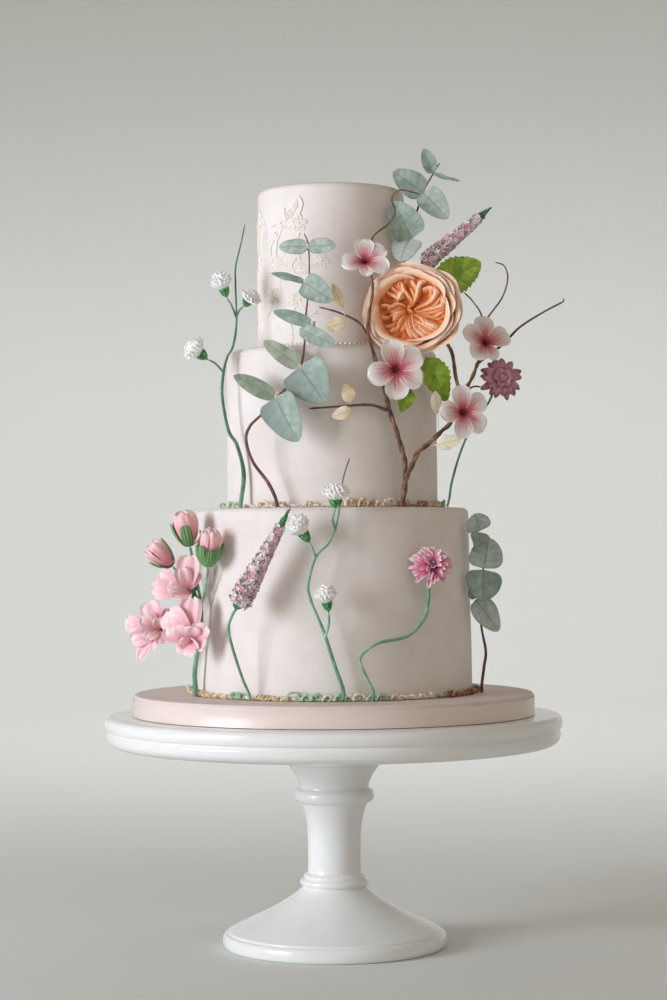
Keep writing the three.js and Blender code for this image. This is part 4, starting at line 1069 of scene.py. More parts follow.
def petal(length, width, slopes, cup=0.0, ruffle=0.0, waves=2.0, phase=0.0, full=0.8, blunt=0.7, foot=0.12,
          notch=0.0, rows=10, columns=5):
    """The middle surface of a petal that grows along +X and looks along +Z. slopes are (share, degrees);
    cup raises its sides, ruffle waves its rim, notch dents its tip."""
    u = np.linspace(0, 1, rows)[:, None]
    slope = np.radians(np.interp(u, *zip(*slopes)))
    step = length / (rows - 1) * np.sign(u)      # none before the first row
    x, z = np.cumsum(np.cos(slope) * step)[:, None], np.cumsum(np.sin(slope) * step)[:, None]
    v = np.linspace(1, -1, columns)
    half = width / 2 * (foot + (1 - foot) * np.sin(math.pi * u**full) ** blunt)
    wave = (0.25 + 0.75 * np.abs(v)) * np.sin(waves * math.pi * v + phase + 2 * u)
    lift = cup * half * v**2 + ruffle * u**1.6 * wave
    back = notch * u**5 * np.exp(-(v / 0.3) ** 2)
    along, above = np.cos(slope), np.sin(slope)
    return np.stack([x - lift * above - back * along, half * v, z + lift * along - back * above], -1)


def shell(profile, turn, spread, drop, side=0.0, ruffle=0.0, waves=2.0, phase=0.0, point=0.0, notch=0.0,
          rows=14, columns=15):
    """A petal that follows a [radius, height] profile round +Z, spread degrees to each side of turn. Its rim
    drops at the sides; side puts one edge outside the other, and point narrows it towards its tip."""
    profile = smooth(profile, 1.0)
    run = run_along(profile)
    s = np.linspace(0, 1, rows)[:, None]
    v = np.linspace(-1, 1, columns)
    reach = run[-1] * s * (1 - drop * np.abs(v) ** 2.5 - notch * np.exp(-(v / 0.18) ** 2) * s**2)
    wave = waves * math.pi * v + phase
    radius = np.interp(reach, run, profile[:, 0]) + side * v * s + ruffle * s**2.5 * np.sin(wave)
    height = np.interp(reach, run, profile[:, 1]) + 0.6 * ruffle * s**3 * np.sin(wave + 1.3)
    return rings(radius, np.radians(turn + spread * v * (1 - point * s**1.6)), height)


def ring_of(shape, count, surface, thickness, paint, place, first=0.0, out=0.0):
    """Equal petals round +Z, each some way out."""
    for k in range(count):
        shape.sheet(surface, thickness, 0.5, paint, place @ spin(360 / count * k + first) @ shifted(x=out))


def filled_disc(count, size):
    """Even spots in a disc: x, y and how far out each lies."""
    k = np.arange(count)
    reach = size * np.sqrt((k + 0.5) / count)
    turn = np.radians(GOLDEN * k)
    return zip(reach * np.cos(turn), reach * np.sin(turn), reach)


# ---------- five-petalled blossoms ----------

BLOSSOM = petal_paint("blossom_petal", {
    0.0: "#661c23", 0.14: "#97383f", 0.27: "#cb6872", 0.42: "#e49ea5", 0.6: "#efcacc", 0.8: "#f6e6e4",
    1.0: "#fdf8f6"}, "#b03a48", 0.7, "#fffefc", depth=0.25, pale=0.3)
STIGMA = plain_paint("stigma", "#4f1a20", "#7d3a3a", 1.0)
# Each blossom: its width, its place, which way it faces (round and up), and its petals' turns and sizes.
BLOSSOMS = [
    (36, [16.5, 511.5, 87], 5, 25, [(92, 1.0), (37, 1.0), (-24, 1.0), (192, 1.0), (-88, 0.72)]),
    (44.5, [25.5, 431.5, 107.5], 12, 5, [(104, 1.0), (35, 1.0), (-29, 0.95), (-92, 1.0), (196, 1.0)]),
    (40, [51.5, 401.5, 122.5], 20, 5, [(101, 1.0), (32, 1.0), (-39, 1.0), (-98, 0.98), (180, 1.0)]),
    (41, [61.5, 453.5, 129], 25, 20, [(92, 1.0), (18, 1.0), (-74, 0.74), (222, 0.98), (158, 1.0)]),
]


def blossom(number, width, place, turn, lift, petals):
    """Five rounded petals on a cone-shaped throat, with a small green calyx behind."""
    frame = facing(place, turn, lift)
    draw = np.random.default_rng(10 + number)
    shape = Shape()
    for turn, size in petals:
        length = 0.52 * width * size
        surface = petal(length, 0.77 * length, [(0, 50), (0.12, 42), (0.3, 18), (0.7, 5), (1, -14)], 0.16,
                        0.5, 1.5, draw.uniform(0, 6), 1.6, 0.55, 0.07, 0.9, 16, 13)
        lean = leaning(draw.uniform(-3, 4))
        place = frame @ shifted(z=-2.6) @ spin(turn) @ shifted(x=0.6) @ lean
        shape.sheet(surface, 0.55, draw.uniform(), 0, place)
    back = [[0.4, -5.4], [1.0, -5.2], [1.5, -4.2], [1.9, -2.9], [0.8, -2.4], [0.3, -2.3]]
    shape.turned(back, 12, 0, 1, frame)
    sepal = petal(width * 0.17, 2.8, [(0, 30), (1, 5)], 0.2, rows=6)
    ring_of(shape, 5, sepal, 0.4, 1, frame @ shifted(z=-4.2), 20)
    shape.turned([[0.5, -2.6], [0.55, 0.2], [0.9, 0.8], [0.7, 1.3], [0.2, 1.4]], 8, 0, 2, frame)
    make(f"blossom_{number}", shape, [BLOSSOM, GREEN, STIGMA])


for flower_number, flower in enumerate(BLOSSOMS, 1):
    blossom(flower_number, *flower)


# ---------- garden rose ----------

# The rose's outer petals, layer by layer: count, spread, first turn, drop, ruffle and profile.
ROSE_LAYERS = [
    (5, 58, 20, 0.16, 1.1, [(3, -19), (17, -15), (27, -5), (32.5, 4.6), (35.2, 8.8), (37.9, 7.6)]),
    (5, 56, 52, 0.14, 0.9, [(3, -18), (16, -14), (25.5, -5), (30.4, 5), (32.9, 10.8), (36.2, 10.4)]),
    (5, 54, 18, 0.12, 0.8, [(3, -17), (14, -13.5), (22.5, -5.5), (27.4, 5), (29.8, 12.2), (33.6, 12.6)]),
    (4, 64, 60, 0.12, 0.7, [(3, -16), (12, -13), (20, -5), (24.6, 5), (26, 11.5), (27.8, 14.6),
                            (30.8, 14.8)]),
]
# The crests of the folds in its heart, how high each stands and where it runs; then the hollows between
# them, each its place, width and depth.
ROSE_CRESTS = [
    (0.8, [(-1, 3.5), (0, 7.5), (-2, 11), (-5, 15.5), (-6.5, 20.5)]),
    (0.7, [(0, 4.5), (2, 8.5), (1.5, 12.5), (0, 16.5)]),
    (0.8, [(3.5, 13.5), (4.5, 16), (3, 19), (1, 22)]),
    (1, [(0.5, 4), (3.5, 9), (5, 14), (7, 19), (11, 22)]),
    (1, [(2, 0), (6, 1.5), (11.5, 3.5), (16, 7), (18.5, 12.5), (17.5, 16), (13, 17), (8.5, 16)]),
    (0.6, [(6, 4.5), (10, 3), (12.5, 5.5), (14.5, 10), (14, 15)]),
    (0.9, [(2, -1), (6, -2), (11, -1), (17.5, 0), (22.5, 1.5), (23.5, 5.5), (22.5, 10)]),
    (0.7, [(2.5, -3), (7.5, -3.5), (13.5, -3.5), (18.5, -2.5), (23, -0.5)]),
    (0.7, [(3.5, -4), (10, -5.5), (16, -7), (20.5, -5), (23, -3)]),
    (0.5, [(15, -8), (20, -8.5), (23.5, -6)]),
    (1, [(0.5, -4), (6, -7), (9, -10), (13.5, -13), (18.5, -15.5), (21, -15)]),
    (0.9, [(0, -6.5), (3.5, -9.5), (7.5, -12), (12.5, -14.5), (17.5, -18)]),
    (0.8, [(0, -7.5), (3.5, -12), (7.5, -15.5), (11, -19), (15, -22)]),
    (0.9, [(-0.5, -2), (0, -7), (1, -11.5), (3.5, -16), (7.5, -20.5), (11.5, -23.5)]),
    (0.8, [(-2, -3), (-2.5, -8.5), (-1.5, -14), (0.5, -19), (4.5, -23)]),
    (0.8, [(-4, -5), (-4.5, -9.5), (-3.5, -15), (-1.5, -19.5), (1, -22)]),
    (0.7, [(-4.5, -8), (-6, -12.5), (-8, -15.5)]),
    (0.8, [(-4.5, -3.5), (-7.5, -6), (-9.5, -9.5), (-10.5, -13)]),
    (0.9, [(-5.5, -1.5), (-9.5, -2), (-12.5, -4.5), (-14, -7)]),
    (0.7, [(-5, -0.5), (-8.5, -0.5), (-12, -1.5), (-15.5, -3.5)]),
    (0.6, [(-5.5, 1.5), (-9.5, 2), (-12.5, 0.5), (-16, -1)]),
    (0.8, [(-5, 3.5), (-8.5, 5.5), (-12, 5.5), (-15.5, 4), (-17.5, 2)]),
    (1.1, [(-15.5, 12.5), (-13, 10.5), (-9, 9), (-7.5, 11.5), (-6.5, 13.5)]),
    (0.5, [(-5, 9), (-7, 12.5), (-9.5, 16), (-11.5, 19.5)]),
    (0.5, [(-2.5, 9), (-4.5, 12.5), (-8, 16.5), (-9.5, 21)]),
    (0.6, [(11, 1.5), (15, 2), (19, 4.5), (21, 9)]),
    (0.6, [(-3, 0.5), (-1.5, 2.5), (0.5, 3)]),
    (0.6, [(1.5, -1.5), (-0.5, -0.5), (-2, 1)]),
    (0.7, [(-9, -11.5), (-12, -14), (-14.5, -15.5)]),
    (0.6, [(-12, -9), (-16, -11.5), (-19, -12)]),
    (0.7, [(-16, -4.5), (-20, -4.5), (-22.5, -3)]),
    (0.6, [(-14, 3), (-18.5, 5), (-21.5, 5)]),
    (0.6, [(-9, 13), (-12.5, 16.5), (-14.5, 18.5)]),
    (0.6, [(-11.5, 11.5), (-16, 14), (-18.5, 15)]),
]
ROSE_HOLLOWS = [(-17, 11, 8, 3.6), (-17, -9, 7, 3.2), (-19, 0, 6, 1.5), (-8, -21, 6, 2.4), (21, 21, 6, 2)]
ROSE_BACK = [[20, 1], [12, -8], [8, -16], [5, -19.4], [0.4, -20]]
APRICOT = petal_paint("apricot_petal", {
    0.0: "#f0a264", 0.35: "#fbb27a", 0.6: "#ffbc88", 0.82: "#ffc496", 1.0: "#ffcfac"},
    "#fbae70", 0.15, "#ffe2cb", depth=0.15, tint=0.2)
# The folds' paint: its dark end colours the crevices between the folds as painted shade.
FOLD = petal_paint("apricot_fold", {
    0.0: "#aa531f", 0.2: "#c86e35", 0.42: "#e6955c", 0.62: "#f5b88c", 0.82: "#fcd0b0", 1.0: "#ffe0c8"},
    depth=0.1, tint=0.08)


def rose_heart(frame, shape):
    """The folds that fill the cup: a bowl of crests, each steep to one side and gentle to the other."""
    turn = circle(330)
    bowl = 24
    radius = np.concatenate([np.linspace(0.2, bowl + 0.4, 76), [r for r, _ in ROSE_BACK]])[:, None]
    spots = rings(radius, turn)[..., :2]
    rise = np.zeros(spots.shape[:2])
    for high, route in ROSE_CRESTS:
        route = smooth(route, 0.7)
        ahead = unit(np.gradient(route, axis=0))
        share = np.linspace(0, 1, len(route))
        top = high * (6.6 - 3.6 * (1 - share) ** 3 - 2.0 * share**6)
        for place, way, crest in zip(route, ahead, top):
            gap = spots - place
            side = way[0] * gap[..., 1] - way[1] * gap[..., 0]
            slope = 2.3 - 1.1 * np.tanh(2 * side)
            rise = np.maximum(rise, crest - slope * np.linalg.norm(gap, axis=-1))
    out = radius / bowl
    rise = rise + 0.48 * np.sin(26 * turn + 0.35 * radius + 2 * np.sin(0.5 * radius)) * out
    height = 4.6 + 4.6 * out**1.6 + rise * np.clip((bowl + 1.2 - radius) / 3.0, 0, 1)
    for x, y, wide, deep in ROSE_HOLLOWS:
        height = height - deep * np.exp(-np.sum((spots - [x, y]) ** 2, -1) / wide**2)
    height[-len(ROSE_BACK):] = np.array(ROSE_BACK)[:, 1:]
    # The folds' colour follows their height and reach: deep orange low in the crevices between them, which is
    # painted shade, paler up at the crests and towards the rim.
    shade = np.clip(0.02 + 0.15 * rise + 0.2 * out**2, 0, 1)
    tags = tagged(shade, turn / math.pi - 1, 0.5)
    faces = [group[:, ::-1] for group in drum(*shade.shape)]
    shape.add(rings(radius, turn, height), faces, tags, 1, frame)


def garden_rose():
    """A cupped rose: layers of broad outer petals round a bowl full of folds."""
    frame = facing([39, 475.5, 96.5], -15, 3) @ scaled(1.03, 0.93)
    draw = np.random.default_rng(21)
    shape = Shape()
    for count, spread, first, drop, ruffle, profile in ROSE_LAYERS:
        for k in range(count):
            size = draw.uniform(0.96, 1.0)
            turn = first + 360 * k / count + draw.uniform(-8, 8)
            surface = shell(profile, turn, spread * draw.uniform(0.9, 1.1), drop, draw.uniform(0.6, 1.2),
                            ruffle, draw.uniform(1.2, 2.4), draw.uniform(0, 6),
                            notch=draw.uniform(0, 0.03), rows=16, columns=21)
            shape.sheet(surface, 0.7, draw.uniform(), 0, frame @ scaled(size, size))
    rose_heart(frame, shape)
    sepal = petal(20, 6, [(0, -20), (0.5, 15), (1, 50)], 0.2, 0.3)
    ring_of(shape, 5, sepal, 0.5, 2, frame @ shifted(z=-18.5), out=1.5)
    make("garden_rose", shape, [APRICOT, FOLD, GREEN])


garden_rose()


# ---------- flower spikes ----------

SPIKE = draw_paint("spike_floret", {
    0.0: "#e58dad", 0.16: "#f2b3c8", 0.36: "#fadde6", 0.52: "#fffafa", 0.78: "#f8eef0", 0.9: "#dcc6d0",
    1.0: "#cf93ae"})
CORE = plain_paint("spike_core", "#94788a", "#d0b3bf", 2)
MOUTH = np.array([[0.16, -0.5], [0.35, 0.0], [0.68, 0.4], [1.15, 0.6], [1.12, 0.78], [0.62, 0.62],
                  [0.3, 0.35], [0.06, 0.3]])
BLOOMED = 0.8                   # the share of a spike that is in flower, below its green tip


def floret(shape, place, size, draw):
    """A tiny open floret whose mouth is frilled."""
    def mouth(turn, height):
        return 1 + 0.26 * np.cos(5 * turn + 6 * draw) * (height > 0.3 * size)

    def frill(turn, height):
        return 0.28 * size * np.cos(7 * turn + 9 * draw) * (height > 0.4 * size)

    shape.turned(MOUTH * size, 11, draw, 0, place, shape=mouth, rise=frill)


def spike(name, length, fat, slim, frame, seed, greens, count):
    """A tapering spike of tiny frilled florets with dark green specks between them and a green tip."""
    draw = np.random.default_rng(seed)
    shape = Shape()
    share = np.linspace(0, BLOOMED, 22)
    core = np.stack([0.5 * np.sin(6 * share), 0 * share, length * share], -1)
    body = 0.5 * (fat + (slim - fat) * share / BLOOMED) - 1.8
    shape.tube(core, np.maximum(0.6, body * np.minimum(1, 0.25 + 12 * share)), 10, 0.5, 1, frame)
    tip = [[slim * 0.3, BLOOMED - 0.05], [slim * 0.36, BLOOMED], [slim * 0.3, BLOOMED + 0.04],
           [slim * 0.22, BLOOMED + 0.09], [0.2, 1.0]]
    shape.turned(smooth(tip, 0.02) * [1, length], 12, 0.5, 2, frame,
                 shape=lambda turn, height: 1 + 0.2 * np.sin(3 * turn + 1.1 * height))
    for i in range(count):
        share = BLOOMED * ((i + 0.5) / count) ** 0.92
        radius = 0.5 * (fat + (slim - fat) * share / BLOOMED) * min(1, 0.62 + 6 * share)
        size = (1.5 + 0.4 * draw.uniform()) * (1.1 - 0.35 * share)
        place = frame @ shifted(z=length * share) @ spin(GOLDEN * i + draw.uniform(-14, 14))
        place = place @ leaning(draw.uniform(5, 38)) @ shifted(x=radius - size * draw.uniform(0.75, 1.2))
        place = place @ leaning(-90) @ spin(draw.uniform(0, 360))
        floret(shape, place, size, draw.uniform())
    for i in range(count // 2 + 40):
        share = draw.uniform(0.03, 0.82) if i >= 40 else draw.uniform(0.77, 0.97)
        high = share > BLOOMED
        radius = 0.5 * (4.8 * slim * (1 - share) if high else fat + (slim - fat) * share / BLOOMED)
        speck = petal(draw.uniform(1.8, 2.8), 1.2, [(0, 25), (1, 5)], full=0.9, rows=5, columns=3)
        place = frame @ shifted(z=length * share) @ spin(draw.uniform(0, 360))
        place = place @ shifted(x=max(0.2, radius - draw.uniform(0.5, 1.3))) @ leaning(draw.uniform(30, 80))
        shape.sheet(speck, 0.3, 0.5, 2, place)
    calyx = petal(fat * 0.4, 4.2, [(0, 20), (0.6, 60), (1, 75)], 0.2, rows=7)
    ring_of(shape, 6, calyx, 0.4, 2, frame @ shifted(z=-1.6), out=0.5)
    make(name, shape, [SPIKE, CORE, plain_paint(name + "_green", *greens, 1.5)], 80)


spike("low_spike", 81, 19.5, 7.6, pointing([-31.6, 261.3, 131.6], [-14, 332.5, 123]), 31,
      ("#2f6a40", "#4f9560"), 430)
spike("upper_spike", 66, 14.5, 8.5, pointing([56, 513.5, 82.5], [69.5, 554.5, 126]), 32,
      ("#44614c", "#638268"), 340)


# ---------- small white flowers ----------

WHITE = petal_paint("white_petal", {0.0: "#e6dcbc", 0.25: "#f8f3e6", 0.5: "#fefdfb", 1.0: "#ffffff"},
                    rough=0.55, depth=0.075)
# Profiles in shares of a flower's width and height; its head has layers of petals: count, spread, frill and
# profile.
WHITE_CUP = [(0.03, 0.0), (0.07, 0.06), (0.15, 0.18), (0.22, 0.36), (0.23, 0.5), (0.18, 0.6), (0.02, 0.58)]
WHITE_TOOTH = [(0.15, 0.14), (0.24, 0.34), (0.28, 0.54), (0.33, 0.76)]
WHITE_DOME = [(0.1, 0.5), (0.36, 0.7), (0.48, 0.92), (0.45, 1.1), (0.32, 1.26), (0.12, 1.36), (0.01, 1.37)]
WHITE_LAYERS = [
    (6, 40, 0.06, [(0.14, 0.52), (0.34, 0.68), (0.48, 0.84), (0.57, 0.94)]),
    (6, 40, 0.07, [(0.14, 0.52), (0.36, 0.8), (0.48, 1.0), (0.53, 1.14)]),
    (5, 44, 0.07, [(0.12, 0.6), (0.32, 0.95), (0.42, 1.14), (0.44, 1.28)]),
    (4, 52, 0.06, [(0.1, 0.7), (0.24, 1.08), (0.3, 1.26), (0.3, 1.38)]),
    (3, 70, 0.05, [(0.05, 0.8), (0.1, 1.14), (0.13, 1.3), (0.15, 1.44)]),
]
WHITE_FLOWERS = {
    "left_white_flower_1": (13.5, [-61.5, 489.5, 88.5], [-61, 502, 93.5]),
    "left_white_flower_2": (13.5, [-56, 483, 78.5], [-51, 490, 76.5]),
    "left_white_flower_3": (15.5, [-63, 443.5, 103.5], [-63.5, 451.5, 114]),
    "center_white_flower_1": (17, [1, 331.5, 117], [1, 343, 119]),
    "center_white_flower_2": (14, [-8, 307, 118], [-11.5, 319.5, 123.5]),
    "center_white_flower_3": (13.5, [-1.5, 257.5, 120], [-2.5, 270.5, 123]),
}


def white_flower(name, width, foot, head, seed):
    """A pointed green cup with a tall, tightly frilled white head."""
    draw = np.random.default_rng(seed)
    frame = pointing(foot, head)
    size = np.array([width, np.linalg.norm(at(*head) - at(*foot))])
    shape = Shape()
    shape.turned(smooth(WHITE_CUP * size, 0.8), 14, 0.4, 1, frame)
    for k in range(6):
        tooth = shell(WHITE_TOOTH * size, 60 * k + draw.uniform(-8, 8), 30, 0, point=0.9, rows=7, columns=5)
        shape.sheet(tooth, 0.45, 0.4, 1, frame)
    shape.turned(smooth(WHITE_DOME * size, 0.8), 14, 0.4, 0, frame)
    for count, spread, frill, profile in WHITE_LAYERS:
        for k in range(count):
            sized = profile * size * draw.uniform(0.92, 1.06)
            surface = shell(sized, 360 * k / count + draw.uniform(-16, 16), spread, 0.12, 0.6, frill * width,
                            draw.uniform(3, 4.4), draw.uniform(0, 6), notch=draw.uniform(0, 0.12), rows=9,
                            columns=23)
            shape.sheet(surface, 0.75, draw.uniform(), 0, frame)
    make(name, shape, [WHITE, GREEN], 75)


for flower_number, (flower_name, flower) in enumerate(WHITE_FLOWERS.items()):
    white_flower(flower_name, *flower, 40 + flower_number)


# ---------- astrantia ----------

MAUVE = petal_paint("mauve_petal", {
    0.0: "#7c3550", 0.25: "#b0627e", 0.6: "#d398a8", 0.85: "#bd8c92", 1.0: "#8d6c66"},
    "#8d3a58", 0.45, rough=0.65)
BUTTON = draw_paint("astrantia_button", {0.0: "#d9c7a6", 0.5: "#b58f74", 1.0: "#54303a"})
# Rings of petals: how many, their length, how far they lean up and where they start.
ASTRANTIA_RINGS = [(14, 17.2, -4, -1.8), (12, 15.0, 10, 0.0), (6, 9.5, 30, 1.0)]


def astrantia():
    """Layers of pointed petals round a small button in a ring of stamens."""
    frame = facing([69, 428, 135], 15, 8)
    draw = np.random.default_rng(51)
    shape = Shape()
    for count, length, lean, start in ASTRANTIA_RINGS:
        for k in range(count):
            turn = 360 * k / count + draw.uniform(-7, 7)
            slopes = [(0, lean + 20), (0.5, lean), (1, lean + draw.uniform(-30, 6))]
            surface = petal(length * draw.uniform(0.84, 1.02), 6.2, slopes, 0.4, 0.45, 1.5,
                            draw.uniform(0, 6), 0.95, 0.62, rows=12, columns=7)
            place = frame @ shifted(z=start) @ spin(turn) @ shifted(x=0.8)
            shape.sheet(surface, 0.4, draw.uniform(), 0, place)
    for x, y, reach in filled_disc(46, 4.6):
        place = moved([x, y, 3.4 - 0.09 * reach**2 + draw.uniform(-0.2, 0.3)], frame)
        radius, shade = (0.62, 0.2) if reach < 2.6 else (0.5, 0.9)
        dot(shape, place, radius, 1, 1.2, shade)
    neck = [[0.4, -4.8], [1.2, -4.6], [2.6, -2.6], [4.6, 0.4], [4.2, 2.4], [0.4, 3.2]]
    shape.turned(neck, 14, 0.5, 2, frame)
    make("astrantia", shape, [MAUVE, BUTTON, GREEN])


astrantia()


# ---------- pink spray ----------

SOFT_PINK = petal_paint("soft_pink_petal", {
    0.0: "#e27a88", 0.18: "#f09fab", 0.45: "#fabfc6", 0.8: "#ffd0d6", 1.0: "#ffe2e5"},
    "#ec94a0", 0.3, "#ffeced", 0.35, 0.15, sides=0.5, coat_weight=0.25, coat_roughness=0.25)
BUD_PINK = petal_paint("pink_bud", {0.0: "#e27f8c", 0.4: "#f3a6af", 0.75: "#fcc2c8", 1.0: "#ffd6d8"},
                       "#ea8f9b", 0.4, "#ffe4e4", 0.55, 0.2, sides=0.35)
SEPAL = sepal_paint()
STAMEN = draw_paint("stamen", {0.0: "#f0e3c8", 0.5: "#e6c99a", 1.0: "#c99a62"})
# Each open flower: its place, how far its throat lies from that (across, up and out), its petals, each by its
# turn, length, width, lean towards the front and twist, and its stamens, each by its turn and length.
PINK_OPEN = {
    "pink_flower_1": ([-60.5, 280.5, 127.5], (3.0, -7.5, -4), [
        (86, 24, 17, 2, 12), (62, 14, 10, -6, 20), (146, 23, 13, 6, -10), (184, 24.5, 15, 10, 8),
        (112, 18, 12, 30, 24), (164, 15, 11, 42, 0), (218, 11, 13, 34, -12), (196, 13, 10, 58, 20),
    ], [(160, 9), (176, 8)]),
    "pink_flower_2": ([-67.8, 245, 143.5], (2.5, -1.5, -6), [
        (112, 20.5, 16, 2, 10), (168, 25, 14, 4, 0), (198, 21, 15, 10, -8), (236, 26, 10.5, 0, 6),
        (256, 15, 10, 12, 14), (84, 17, 9, 20, 50), (272, 12, 9, 26, -30), (140, 16, 14, 34, 8),
        (186, 14, 12, 44, -16), (104, 13, 10, 52, 28), (222, 12, 10, 46, 0),
    ], [(150, 9), (196, 10)]),
    "pink_flower_3": ([-55.5, 245.5, 128.5], (1.0, -9.5, -6), [
        (90, 30, 16, -4, 6), (126, 26.5, 22, 6, -6), (154, 20, 17, 14, 8), (50, 18.5, 14, 22, 14),
        (-8, 12.5, 14, 20, 0), (256, 12.5, 16, 26, 8), (210, 11, 13, 22, -8), (118, 17, 15, 40, -12),
        (84, 15.5, 12, 44, 18), (22, 11, 10, 56, 24), (160, 10.5, 10, 58, -20),
    ], [(150, 12.5), (58, 9), (134, 8)]),
}
# Each bud: its width, foot, tip and how wide its head is, then its sepals, each by its turn from the front,
# spread, share of the bud's length, how far it stands off and how much it narrows.
PINK_BUDS = {
    "pink_bud_1": (18.5, [-62, 305, 119.5], [-61.5, 331, 125.5], 1.0, [
        (2, 34, 0.64, 0.02, 0.35), (-76, 30, 0.72, 0.06, 0.5), (80, 22, 0.4, 0, 0.7), (160, 30, 0.66, 0, 0.6),
        (-150, 28, 0.6, 0, 0.6)]),
    "pink_bud_2": (16, [-70.3, 290.5, 127], [-71, 307, 144], 1.0, [
        (84, 30, 0.85, 0.04, 0.5), (-70, 26, 0.6, 0.12, 0.7), (170, 30, 0.7, 0, 0.6),
        (-140, 26, 0.6, 0, 0.6)]),
    "pink_bud_3": (18, [-52, 290, 116.5], [-48, 317.5, 118.5], 0.84, [
        (45 * k + 8, 29, 0.54 + 0.06 * (k % 3), 0.02, 0.4) for k in range(8)]),
}
BUD_BODY = [(0.02, 0.03), (0.14, 0.05), (0.3, 0.16), (0.4, 0.36), (0.42, 0.6), (0.36, 0.8), (0.2, 0.92),
            (0.02, 0.95)]
BUD_PETAL = [(0.16, 0.1), (0.36, 0.26), (0.46, 0.5), (0.49, 0.72), (0.42, 0.88), (0.27, 0.97)]
BUD_LAYERS = [(4, 1.0, 0.96), (4, 0.86, 1.0), (3, 0.62, 1.03)]      # petals, width, height


def pink_flower(name, place, throat, petals, stamens, seed):
    """A loose, glossy flower: broad ruffled petals that leave a striped calyx at the throat."""
    draw = np.random.default_rng(seed)
    frame = facing(place, -22) @ scaled(1.06) @ shifted(*throat)
    shape = Shape()
    for turn, length, width, lean, twist in petals:
        slopes = [(0, lean + 48), (0.25, lean + 16), (0.7, lean), (1, lean - 30)]
        surface = petal(length * 1.08, width, slopes, 0.14, length * 0.055, draw.uniform(1.6, 2.8),
                        draw.uniform(0, 6), 2.2, 0.34, 0.24, length * 0.03, 20, 23)
        shape.sheet(surface, 0.45, draw.uniform(), 0, frame @ spin(turn) @ twisted(twist) @ shifted(x=0.6))
    for turn, length in stamens:
        path = smooth(moved([[0, 0, 1], [0.5 * length, 0, 5.5], [length, 0, 8]], frame @ spin(turn)), 1.5)
        shape.tube(path, [0.5, *[0.42] * (len(path) - 2), 0.55], 6, 0.1, 2)
    shape.turned([[0.6, -9], [1.3, -8.6], [2.8, -6.6], [3.6, -3], [3.0, -0.6], [0.4, 0]], 12, 0.3, 1, frame)
    for k in range(5):
        sepal = shell([(1.6, -8), (4.0, -5.4), (5.6, -2), (8.2, 1.2)], 72 * k + 10, 30, 0, point=0.85, rows=9,
                      columns=7)
        shape.sheet(sepal, 0.5, draw.uniform(), 1, frame @ shifted(z=-0.8))
    make(name, shape, [SOFT_PINK, SEPAL, STAMEN])


def pink_bud(name, width, foot, tip, plump, sepals, seed):
    """A furled bud: ruffled petals wrapped round a rounded head, held by sepals."""
    draw = np.random.default_rng(seed)
    frame = pointing(foot, tip)
    front = math.degrees(math.atan2(-frame[1, 1], -frame[1, 0]))
    size = np.array([width, np.linalg.norm(at(*tip) - at(*foot))])
    shape = Shape()
    shape.turned(smooth(BUD_BODY * size * [plump, 1], 1.5), 20, 0.4, 0, frame)
    for layer, (count, shrink, high) in enumerate(BUD_LAYERS):
        for k in range(count):
            turn = 360 * k / count + 40 * layer + draw.uniform(-12, 12)
            surface = shell(BUD_PETAL * size * [shrink * plump, high], turn, 62, 0.16, 1.0, 1.1,
                            draw.uniform(1.8, 3.4), draw.uniform(0, 6), notch=draw.uniform(0, 0.06))
            shape.sheet(surface, 0.5, draw.uniform(), 0, frame)
    for turn, spread, share, off, narrow in sepals:
        husk = [(0.05, 0.0), (0.24, 0.05), (0.45, 0.32 * share + 0.04), (0.52 + 0.5 * off, 0.68 * share),
                (0.53 + off, share)]
        surface = shell(husk * size, front + turn + draw.uniform(-4, 4), spread, 0.1, 0, 0.3, 2,
                        draw.uniform(0, 6), narrow, rows=12, columns=9)
        shape.sheet(surface, 0.8, draw.uniform(), 1, frame)
    make(name, shape, [BUD_PINK, SEPAL])


for flower_number, (flower_name, flower) in enumerate(PINK_OPEN.items()):
    pink_flower(flower_name, *flower, 60 + flower_number)
for flower_number, (flower_name, flower) in enumerate(PINK_BUDS.items()):
    pink_bud(flower_name, *flower, 65 + flower_number)


# ---------- cornflower ----------

MAGENTA = petal_paint("magenta_petal", {
    0.0: "#a9336f", 0.2: "#e0709f", 0.5: "#fb9dbf", 0.8: "#ffbed4", 1.0: "#fff0f5"},
    "#cf5a8c", 0.35, "#fffafc", 0.55, 0.1, sides=0.25)
HUB = draw_paint("cornflower_hub", {0.0: "#f6eef4", 0.3: "#a06cae", 1.0: "#5c2f72"})
# Rings of florets: how many, how far each leans up, its length and where it starts.
CORNFLOWER_RINGS = [(17, 6, 16.4, -1.5), (16, 22, 15.8, -0.6), (14, 40, 14.4, 0.2), (10, 58, 12.4, 0.8)]
CORNFLOWER_NECK = [[0.8, -10], [1.6, -9.4], [2.6, -7], [4.6, -4], [5.6, -1.2], [4.2, 1], [2.6, 2.6],
                   [1.6, 3.6], [0.4, 4]]


